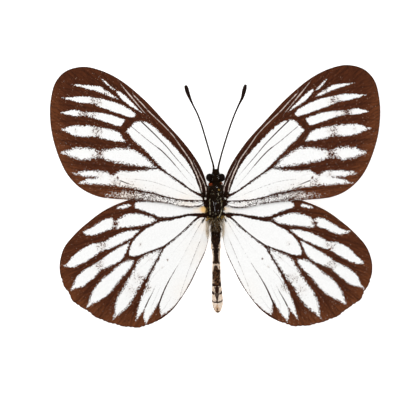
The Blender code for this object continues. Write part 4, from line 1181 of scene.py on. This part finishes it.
eye_material, eye_shader = new_material("compound_eye", Roughness=0.30, Specular_IOR_Level=0.03)
eye_tree = eye_material.node_tree
_, lens_tint, lens_middle = cell_chance(eye_tree, object_place(eye_tree), LENS_SIZE)
lens_colour = mix_colours(eye_tree, lens_tint, linear("#060302"), linear("#180B06"))
link_surface(eye_tree, eye_shader, lens_colour, lens_middle, strength=0.25, depth=0.01)
for side, (middle, half_width) in EYES.items():
    bpy.ops.object.select_all(action="DESELECT")
    bpy.ops.mesh.primitive_uv_sphere_add(segments=40, ring_count=24, radius=1, rotation=(0, math.pi / 2, 0))
    eye = bpy.context.object
    eye.name = f"eye_{side}_lenses"
    bpy.ops.object.transform_apply(location=True, rotation=True, scale=True)
    eye.scale = (half_width * MM, EYE_HALF[0] * MM, EYE_HALF[1] * MM)
    eye.location = (middle * MM, EYE_MIDDLE[0] * MM, EYE_MIDDLE[1] * MM)
    bpy.ops.object.transform_apply(location=True, rotation=True, scale=True)
    finish_piece(eye, eye_material, f"eye_{side}")

# %% [markdown]
# ## Antennae, palps, tongue and legs
# These are jointed tubes. Each follows a smooth path whose radius changes, so a curve with a round profile is
# drawn and turned into a mesh. The radius swells a little in the middle of each joint, which gives the rings
# of an antenna and the joints of a foot.

# %% Jointed tubes
LEFT_ANTENNA = [
    (-0.38, 8.0, 4.95, 0.30), (-0.36, 9.3, 5.1, 0.25), (-1.0, 11.7, 5.35, 0.21), (-1.75, 14.3, 5.6, 0.21),
    (-2.6, 17.2, 5.85, 0.21), (-3.45, 20.0, 6.05, 0.21), (-4.4, 22.5, 6.2, 0.21), (-5.65, 25.0, 6.3, 0.24),
    (-6.35, 26.6, 6.3, 0.37), (-6.85, 27.9, 6.25, 0.50), (-7.13, 28.9, 6.25, 0.50),
    (-7.38, 29.63, 6.25, 0.30),
]
RIGHT_ANTENNA = [
    (0.74, 8.0, 4.95, 0.28), (0.84, 9.2, 5.1, 0.24), (1.43, 11.7, 5.35, 0.21), (2.17, 14.3, 5.6, 0.21),
    (3.06, 17.2, 5.85, 0.21), (4.0, 20.0, 6.05, 0.21), (4.94, 22.5, 6.2, 0.21), (6.06, 25.0, 6.3, 0.24),
    (6.83, 26.6, 6.3, 0.37), (7.17, 27.9, 6.25, 0.50), (7.42, 28.9, 6.25, 0.50), (7.66, 29.82, 6.25, 0.30),
]
PALP = [(0.34, 7.55, 2.2, 0.22), (0.38, 8.15, 2.55, 0.30), (0.36, 8.5, 3.2, 0.28), (0.32, 8.7, 3.85, 0.14)]
LEGS = {
    "front": [(2.0, 4.0, 1.6, 0.34), (2.8, 5.2, 1.8, 0.28), (3.3, 6.1, 1.9, 0.20), (3.35, 6.3, 1.5, 0.22),
        (3.1, 5.2, 0.9, 0.17), (3.0, 4.3, 0.42, 0.15), (3.15, 3.3, 0.19, 0.13), (3.4, 1.9, 0.16, 0.11)],
    "middle": [(2.05, 1.9, 1.5, 0.36), (3.1, 1.0, 1.85, 0.30), (3.9, 0.2, 2.1, 0.20),
        (3.95, -0.1, 1.75, 0.22), (3.5, -1.1, 1.05, 0.18), (3.2, -2.1, 0.45, 0.15), (3.5, -3.2, 0.19, 0.13),
        (4.0, -4.8, 0.16, 0.11)],
    "hind": [(1.9, -1.1, 1.6, 0.36), (2.5, -2.4, 2.0, 0.30), (2.8, -3.4, 2.35, 0.20),
        (2.75, -3.8, 2.05, 0.22), (2.45, -5.0, 1.25, 0.18), (2.3, -6.3, 0.5, 0.15), (2.5, -7.4, 0.19, 0.13),
        (2.9, -9.0, 0.16, 0.11)],
}
LIMB_MIDLINE = 0.10
PALP_MIDLINE = 0.18
TUBE_STEP = 0.09
TUBE_END = 0.55
WELD = 1e-7


def jointed_tube(name, route, joint, swell, resolution=2):
    """A closed tube along x, y, z and radius points. Its radius swells by this share in every joint."""
    rows = np.array(smooth_line([tuple(point[:3]) for point in route], 12))
    marks = np.array(smooth_line([(i, point[3]) for i, point in enumerate(route)], 12))
    travelled = np.concatenate([[0], np.cumsum(np.linalg.norm(np.diff(rows, axis=0), axis=1))])
    count = int(travelled[-1] / TUBE_STEP) + 1
    at = np.linspace(0, travelled[-1], count)
    centre = np.stack([np.interp(at, travelled, rows[:, k]) for k in range(3)], axis=1)
    radius = np.interp(at, travelled, marks[:, 1])
    radius *= 1 + swell * (np.abs(np.sin(math.pi * at / joint)) - 0.5)
    radius[[0, -1]] *= TUBE_END
    curve = bpy.data.curves.new(name, "CURVE")
    curve.dimensions = "3D"
    curve.bevel_depth = MM
    curve.bevel_resolution = resolution
    curve.use_fill_caps = True
    line = curve.splines.new("POLY")
    line.points.add(count - 1)
    for point, place, width in zip(line.points, centre, radius):
        point.co = (*(place * MM), 1.0)
        point.radius = width
    tube = bpy.data.objects.new(name, curve)
    bpy.context.scene.collection.objects.link(tube)
    select_only(tube)
    bpy.ops.object.convert(target="MESH")
    bpy.ops.object.mode_set(mode="EDIT")
    bpy.ops.mesh.select_all(action="SELECT")
    bpy.ops.mesh.remove_doubles(threshold=WELD)
    face_outwards()
    return bpy.context.object


def on_side(route, side, midline):
    """The route with x measured outwards from the given midline, on this side of the body."""
    outwards = 1 if side == "right" else -1
    return [(midline + outwards * (x - midline), *rest) for x, *rest in route]


def finish_limb(name, part, route, joint, swell, resolution=2):
    tube = jointed_tube(name, route, joint, swell, resolution)
    finish_piece(tube, limb_chitin, part, angle=70)


for side, route in (("left", LEFT_ANTENNA), ("right", RIGHT_ANTENNA)):
    finish_limb(f"antenna_{side}_rings", f"antenna_{side}", route, joint=0.42, swell=0.10, resolution=3)
for side in ("left", "right"):
    route = on_side([(x + PALP_MIDLINE, *rest) for x, *rest in PALP], side, PALP_MIDLINE)
    finish_limb(f"palp_{side}_joints", f"palp_{side}", route, joint=0.8, swell=0.12, resolution=3)
    for pair, route in LEGS.items():
        leg = f"leg_{pair}_{side}"
        finish_limb(f"{leg}_joints", leg, on_side(route, side, LIMB_MIDLINE), joint=0.62, swell=0.14)

COIL_MIDDLE = (0.18, 7.0, 1.35)
COIL_OUTER = 0.85
COIL_PITCH = 0.42
COIL_TURNS = 1.6
COIL_START = math.radians(80)
COIL_POINTS = 60
coil = []
for k in range(COIL_POINTS):
    share = k / (COIL_POINTS - 1)
    turn = COIL_START - 2 * math.pi * COIL_TURNS * share
    radius = COIL_OUTER - COIL_PITCH * COIL_TURNS * share
    x, y, z = COIL_MIDDLE
    coil.append((x, y + radius * math.cos(turn), z + radius * math.sin(turn), 0.12 - 0.04 * share))
finish_limb("proboscis_coil", "proboscis", coil, joint=0.2, swell=0.06)

# %% [markdown]
# ## Fur
# The body's colour is mostly its coat. One hair is a thin three-sided blade that bends as it goes and ends in
# a point. It is copied thousands of times along short paths on the body, as if combed: each hair lies along
# its path, lifted a little, with its own length, bend and shade. A ray from above finds where it is rooted.
# The hairs' roots are about 0.1 mm thick, several times a real hair's, so that they show.

# %% Hair patches
HAIR_RINGS = 3
HAIR_TAPER = 0.75
HAIR_DEPTH = 0.04
ABOVE_ALL = 9
HAIR_AWAY = 0.2
HAIR_BEND = 0.15
HAIR_DROOP = -0.20
# A coat is (its darkest hair, its lightest hair, its patches). A patch is (how far from its path its hairs
# root, how many there are, their length, their radius, how much they lift, how much they stray, the path).
FUR = {
    "dark_coat": ("#050301", "#2E1D11", [
        (1.95, 1700, 0.75, 0.055, 0.30, 0.50, [(0.12, 5.6), (0.12, 0.0), (0.12, -4.9)]),
        (0.95, 380, 0.60, 0.045, 0.9, 0.50, [(0.16, 5.7), (0.20, 8.3)]),
        (0.40, 90, 0.6, 0.045, 0.2, 0.35, [(0.20, 8.0), (0.24, 8.4)]),
        (1.75, 360, 0.8, 0.050, 0.5, 0.50, [(0.14, 5.9), (0.14, 4.6)]),
        (0.75, 220, 0.8, 0.050, 0.15, 0.30, [(-1.3, 2.5), (-2.3, 2.4), (-3.1, 2.1)]),
        (0.75, 220, 0.8, 0.050, 0.15, 0.30, [(1.5, 2.5), (2.4, 2.4), (3.2, 2.1)]),
        (0.65, 180, 0.7, 0.050, 0.15, 0.35, [(-1.3, 0.5), (-2.6, 0.5)]),
        (0.65, 180, 0.7, 0.050, 0.15, 0.35, [(1.4, 0.5), (2.8, 0.5)]),
        (0.38, 120, 0.7, 0.050, 0.15, 0.30, [(-1.3, -2.5), (-2.6, -2.6), (-3.7, -2.6)]),
        (0.38, 120, 0.7, 0.050, 0.15, 0.30, [(1.4, -2.5), (2.6, -2.5), (3.7, -2.5)]),
        (0.40, 90, 0.7, 0.050, 0.20, 0.40, [(-2.05, 0.0), (-2.1, -2.4)]),
        (0.35, 80, 0.7, 0.050, 0.20, 0.40, [(2.1, 0.0), (2.15, -2.4)]),
        (1.55, 560, 1.1, 0.050, 0.12, 0.30, [(0.14, -3.2), (0.17, -7.6)]),
        (1.05, 280, 0.35, 0.035, 0.12, 0.30, [(0.18, -8.0), (0.22, -11.3), (0.34, -15.0), (0.36, -20.2)]),
        (0.35, 90, 0.6, 0.050, 0.30, 0.50, [(-1.10, 6.1), (-1.35, 5.4)]),
        (0.12, 26, 0.9, 0.075, 0.10, 0.15, [(-2.5, -3.4), (-2.95, -4.1)]),
        (0.12, 26, 0.9, 0.075, 0.10, 0.15, [(2.3, -3.4), (2.65, -4.0)]),
    ]),
    "khaki_coat": ("#A89A70", "#FFF8DC", [
        (0.09, 120, 0.6, 0.050, 0.10, 0.12, [(-1.25, 1.5), (-1.28, 0.2), (-1.24, -1.0), (-1.22, -2.2)]),
        (0.12, 60, 0.5, 0.050, 0.10, 0.16, [(1.45, 1.7), (1.50, 0.3), (1.55, -0.3)]),
        (0.08, 120, 0.6, 0.052, 0.10, 0.10, [(1.95, -0.5), (1.65, -1.4), (1.42, -2.2), (1.05, -3.1)]),
        (1.7, 56, 0.45, 0.045, 0.20, 0.40, [(0.12, 3.6), (0.12, -3.4)]),
        (1.5, 60, 1.1, 0.034, 0.10, 0.30, [(0.12, -3.2), (0.15, -5.2)]),
        (0.12, 20, 0.5, 0.045, 0.20, 0.20, [(0.85, 3.0), (0.80, 2.4)]),
        (0.12, 18, 0.4, 0.050, 0.30, 0.30, [(-0.85, 6.4), (-0.85, 6.9)]),
    ]),
    "golden_tufts": ("#6B4418", "#D8B466", [
        (0.45, 70, 0.8, 0.050, 0.15, 0.35, [(-1.4, -3.2), (-2.1, -3.9)]),
        (0.35, 60, 0.8, 0.050, 0.15, 0.35, [(1.5, -3.0), (2.3, -3.5)]),
        (0.16, 40, 0.4, 0.055, 0.35, 0.40, [(0.90, 3.9), (0.95, 3.5)]),
        (0.14, 30, 0.4, 0.055, 0.30, 0.40, [(1.60, 0.9), (1.62, 0.6)]),
        (0.12, 40, 0.35, 0.055, 0.20, 0.30, [(1.36, 5.7), (1.50, 5.35)]),
        (0.20, 50, 0.6, 0.045, 0.20, 0.30, [(-1.95, -0.6), (-2.15, -1.9)]),
        (0.12, 26, 0.5, 0.050, 0.25, 0.30, [(0.85, -2.9), (0.70, -3.4)]),
    ]),
    "red_tufts": ("#6E1F0E", "#CC6238", [
        (0.42, 260, 0.42, 0.060, 0.9, 0.40, [(-1.10, 5.30), (-1.14, 4.75)]),
        (0.22, 45, 0.42, 0.050, 0.9, 0.40, [(1.45, 5.50), (1.60, 5.05)]),
    ]),
    "cream_coat": ("#F8EEDA", "#FFFFFA", [
        (0.14, 170, 0.34, 0.085, 0.20, 0.30, [(-2.32, 1.52), (-2.40, 1.27)]),
        (0.14, 170, 0.34, 0.085, 0.20, 0.30, [(2.56, 1.60), (2.62, 1.35)]),
        (0.10, 34, 0.22, 0.030, 0.3, 0.35, [(-0.78, 7.6), (-0.72, 6.8), (-0.76, 6.0)]),
        (0.10, 34, 0.22, 0.030, 0.3, 0.35, [(0.98, 7.5), (0.92, 6.9), (0.98, 6.3)]),
        (0.18, 90, 0.40, 0.060, 0.8, 0.35, [(2.48, -3.0), (2.62, -3.5)]),
        (0.06, 24, 0.35, 0.050, 0.3, 0.20, [(1.60, 5.3), (1.78, 4.9)]),
    ]),
    # This coat is near-white hairs. Its narrow patches on the thorax's back and at the front of the abdomen are
    # painted highlights: bright specks that stand in for glints of light off the glossy coat. Its wider patches
    # beside the eyes, on the head and on the front of the thorax are grey hairs of its own.
    "painted_glints_and_grey_hairs": ("#A6A4AC", "#FFFFFF", [
        (0.05, 40, 0.30, 0.055, 0.1, 0.08, [(-0.36, 0.45), (-0.30, -0.35)]),
        (0.05, 40, 0.30, 0.060, 0.1, 0.08, [(0.28, 0.45), (0.17, -0.10)]),
        (0.08, 80, 0.30, 0.055, 0.1, 0.10, [(-0.10, -0.5), (-0.08, -1.2), (0.02, -1.7)]),
        (0.08, 14, 0.25, 0.050, 0.3, 0.15, [(0.70, -1.5), (0.85, -1.7)]),
        (0.07, 16, 0.25, 0.050, 0.3, 0.15, [(0.10, 4.30), (0.60, 4.15)]),
        (0.06, 10, 0.25, 0.045, 0.3, 0.15, [(1.38, 4.0), (1.42, 3.8)]),
        (0.08, 10, 0.25, 0.045, 0.3, 0.15, [(-1.36, 1.75), (-1.30, 1.60)]),
        (0.22, 60, 0.22, 0.036, 0.2, 0.40, [(-0.80, 7.8), (-0.74, 6.8), (-0.80, 5.9)]),
        (0.18, 50, 0.22, 0.036, 0.2, 0.40, [(0.98, 7.6), (0.94, 6.9), (1.00, 6.3)]),
        (0.60, 26, 0.20, 0.036, 0.3, 0.50, [(0.16, 5.9), (0.20, 8.4)]),
        (1.50, 26, 0.24, 0.040, 0.2, 0.50, [(0.12, 5.1), (0.12, 2.4)]),
        (0.05, 10, 0.25, 0.050, 0.2, 0.10, [(-0.15, -7.4), (-0.12, -7.7)]),
        (0.05, 10, 0.25, 0.050, 0.2, 0.10, [(0.45, -7.5), (0.48, -7.8)]),
    ]),
    "brown_skirt": ("#3A2614", "#8A6E48", [
        (1.65, 260, 1.3, 0.045, 0.08, 0.25, [(0.15, -3.4), (0.17, -6.2)]),
        (1.60, 60, 0.40, 0.042, 0.20, 0.50, [(0.12, 5.3), (0.12, 2.0)]),
        (0.90, 70, 0.30, 0.036, 0.60, 0.50, [(0.16, 5.9), (0.20, 8.2)]),
        (0.35, 120, 1.7, 0.042, 0.02, 0.18, [(-0.95, -3.4), (-1.15, -4.6), (-1.5, -6.0)]),
        (0.35, 120, 1.7, 0.042, 0.02, 0.18, [(1.2, -3.4), (1.4, -4.6), (1.75, -6.0)]),
        (0.85, 190, 0.40, 0.040, 0.12, 0.35, [(0.18, -7.6), (0.22, -11.3), (0.34, -15.0), (0.38, -20.2)]),
    ]),
    "beige_fans": ("#B59C74", "#FBF4E8", [
        (0.62, 210, 2.0, 0.036, 0.02, 0.14, [(-1.70, -3.7), (-1.62, -5.5), (-1.55, -7.3)]),
        (0.52, 170, 2.0, 0.036, 0.02, 0.14, [(1.75, -3.7), (1.88, -5.5), (1.78, -7.3)]),
        (0.30, 70, 1.8, 0.034, 0.02, 0.20, [(-1.0, -3.6), (-1.2, -4.8), (-1.55, -6.2)]),
        (0.30, 70, 1.8, 0.034, 0.02, 0.20, [(1.25, -3.6), (1.45, -4.8), (1.8, -6.2)]),
        (1.2, 30, 1.2, 0.034, 0.08, 0.20, [(0.15, -4.4), (0.17, -6.6)]),
    ]),
}


def hair_mesh(name, roots, directions, bends, lengths, radii, tints):
    """One mesh of many three-sided blades, each thinner and more bent towards its tip."""
    points, faces, shades, tips = [], [], [], []
    for root, direction, bend, length, radius, tint in zip(roots, directions, bends, lengths, radii, tints):
        first = len(points)
        across = direction.orthogonal().normalized()
        other = direction.cross(across)
        for ring in range(HAIR_RINGS):
            share = ring / HAIR_RINGS
            middle = root + direction * (length * share) + bend * (length * share * share)
            thinner = 1 - HAIR_TAPER * share
            for k in range(3):
                turn = 2 * math.pi * k / 3
                spoke = across * math.cos(turn) + other * math.sin(turn)
                points.append(middle + spoke * radius * thinner)
        points.append(root + direction * length + bend * length)
        for ring in range(HAIR_RINGS - 1):
            for k in range(3):
                a, b = first + ring * 3 + k, first + ring * 3 + (k + 1) % 3
                faces.append((a, b, b + 3, a + 3))
        last = first + (HAIR_RINGS - 1) * 3
        faces += [(last + k, last + (k + 1) % 3, first + HAIR_RINGS * 3) for k in range(3)]
        faces.append((first + 2, first + 1, first))
        shades += [tint] * (HAIR_RINGS * 3 + 1)
        tips += [ring / HAIR_RINGS for ring in range(HAIR_RINGS) for _ in range(3)] + [1.0]
    mesh = bpy.data.meshes.new(name)
    mesh.from_pydata([point * MM for point in points], [], faces)
    give_attribute(mesh, "tint", shades)
    give_attribute(mesh, "tip", tips)
    coat = bpy.data.objects.new(name, mesh)
    bpy.context.scene.collection.objects.link(coat)
    return coat


def hair_material(name, dark, light):
    material, shader = new_material(name, Roughness=0.55, Specular_IOR_Level=0.03)
    tree = material.node_tree
    shade = calculate(tree, "MULTIPLY_ADD", attribute(tree, "tip"), 0.25, attribute(tree, "tint"), clamp=True)
    colour = mix_colours(tree, shade, linear(dark), linear(light))
    tree.links.new(colour, shader.inputs["Base Color"])
    return material


def highest_point(x, y):
    """The highest point of the body or the wings above this place, and its normal, in mm."""
    start, down = Vector((x, y, ABOVE_ALL)) * MM, Vector((0, 0, -1))
    hits = [piece.ray_cast(start, down) for piece in (thorax, head, abdomen, *wings.values())]
    hits = [(point / MM, normal) for hit, point, normal, _ in hits if hit]
    return max(hits, key=lambda hit: hit[0].z) if hits else None


pick = random.Random(7)
for name, (dark, light, patches) in FUR.items():
    roots, directions, bends, lengths, radii, tints = [], [], [], [], [], []
    for reach, count, length, radius, lift, stray, path in patches:
        line = [Vector((x, y, 0)) for x, y in smooth_line(path, 6)]
        for _ in range(count):
            at = pick.uniform(0, len(line) - 1.001)
            start, end = line[int(at)], line[int(at) + 1]
            along = (end - start).normalized()
            beside = Vector((-along.y, along.x, 0)) * (reach * pick.uniform(-1, 1))
            place = start.lerp(end, at % 1) + beside
            found = highest_point(place.x, place.y)
            if not found:
                continue
            point, normal = found
            jitter = Vector((pick.gauss(0, 1), pick.gauss(0, 1), pick.gauss(0, 1))) * stray
            direction = (along + Vector((0, 0, lift)) + normal * HAIR_AWAY + jitter).normalized()
            roots.append(point - normal * HAIR_DEPTH)
            directions.append(direction)
            sideways = [pick.uniform(-HAIR_BEND, HAIR_BEND) for _ in "xy"]
            bends.append(Vector((*sideways, HAIR_DROOP)))
            lengths.append(length * pick.uniform(0.6, 1.15))
            radii.append(radius * pick.uniform(0.7, 1.2))
            tints.append(pick.random() ** 1.3)
    coat = hair_mesh(name, roots, directions, bends, lengths, radii, tints)
    finish_piece(coat, hair_material(f"{name}_hair", dark, light), angle=80)
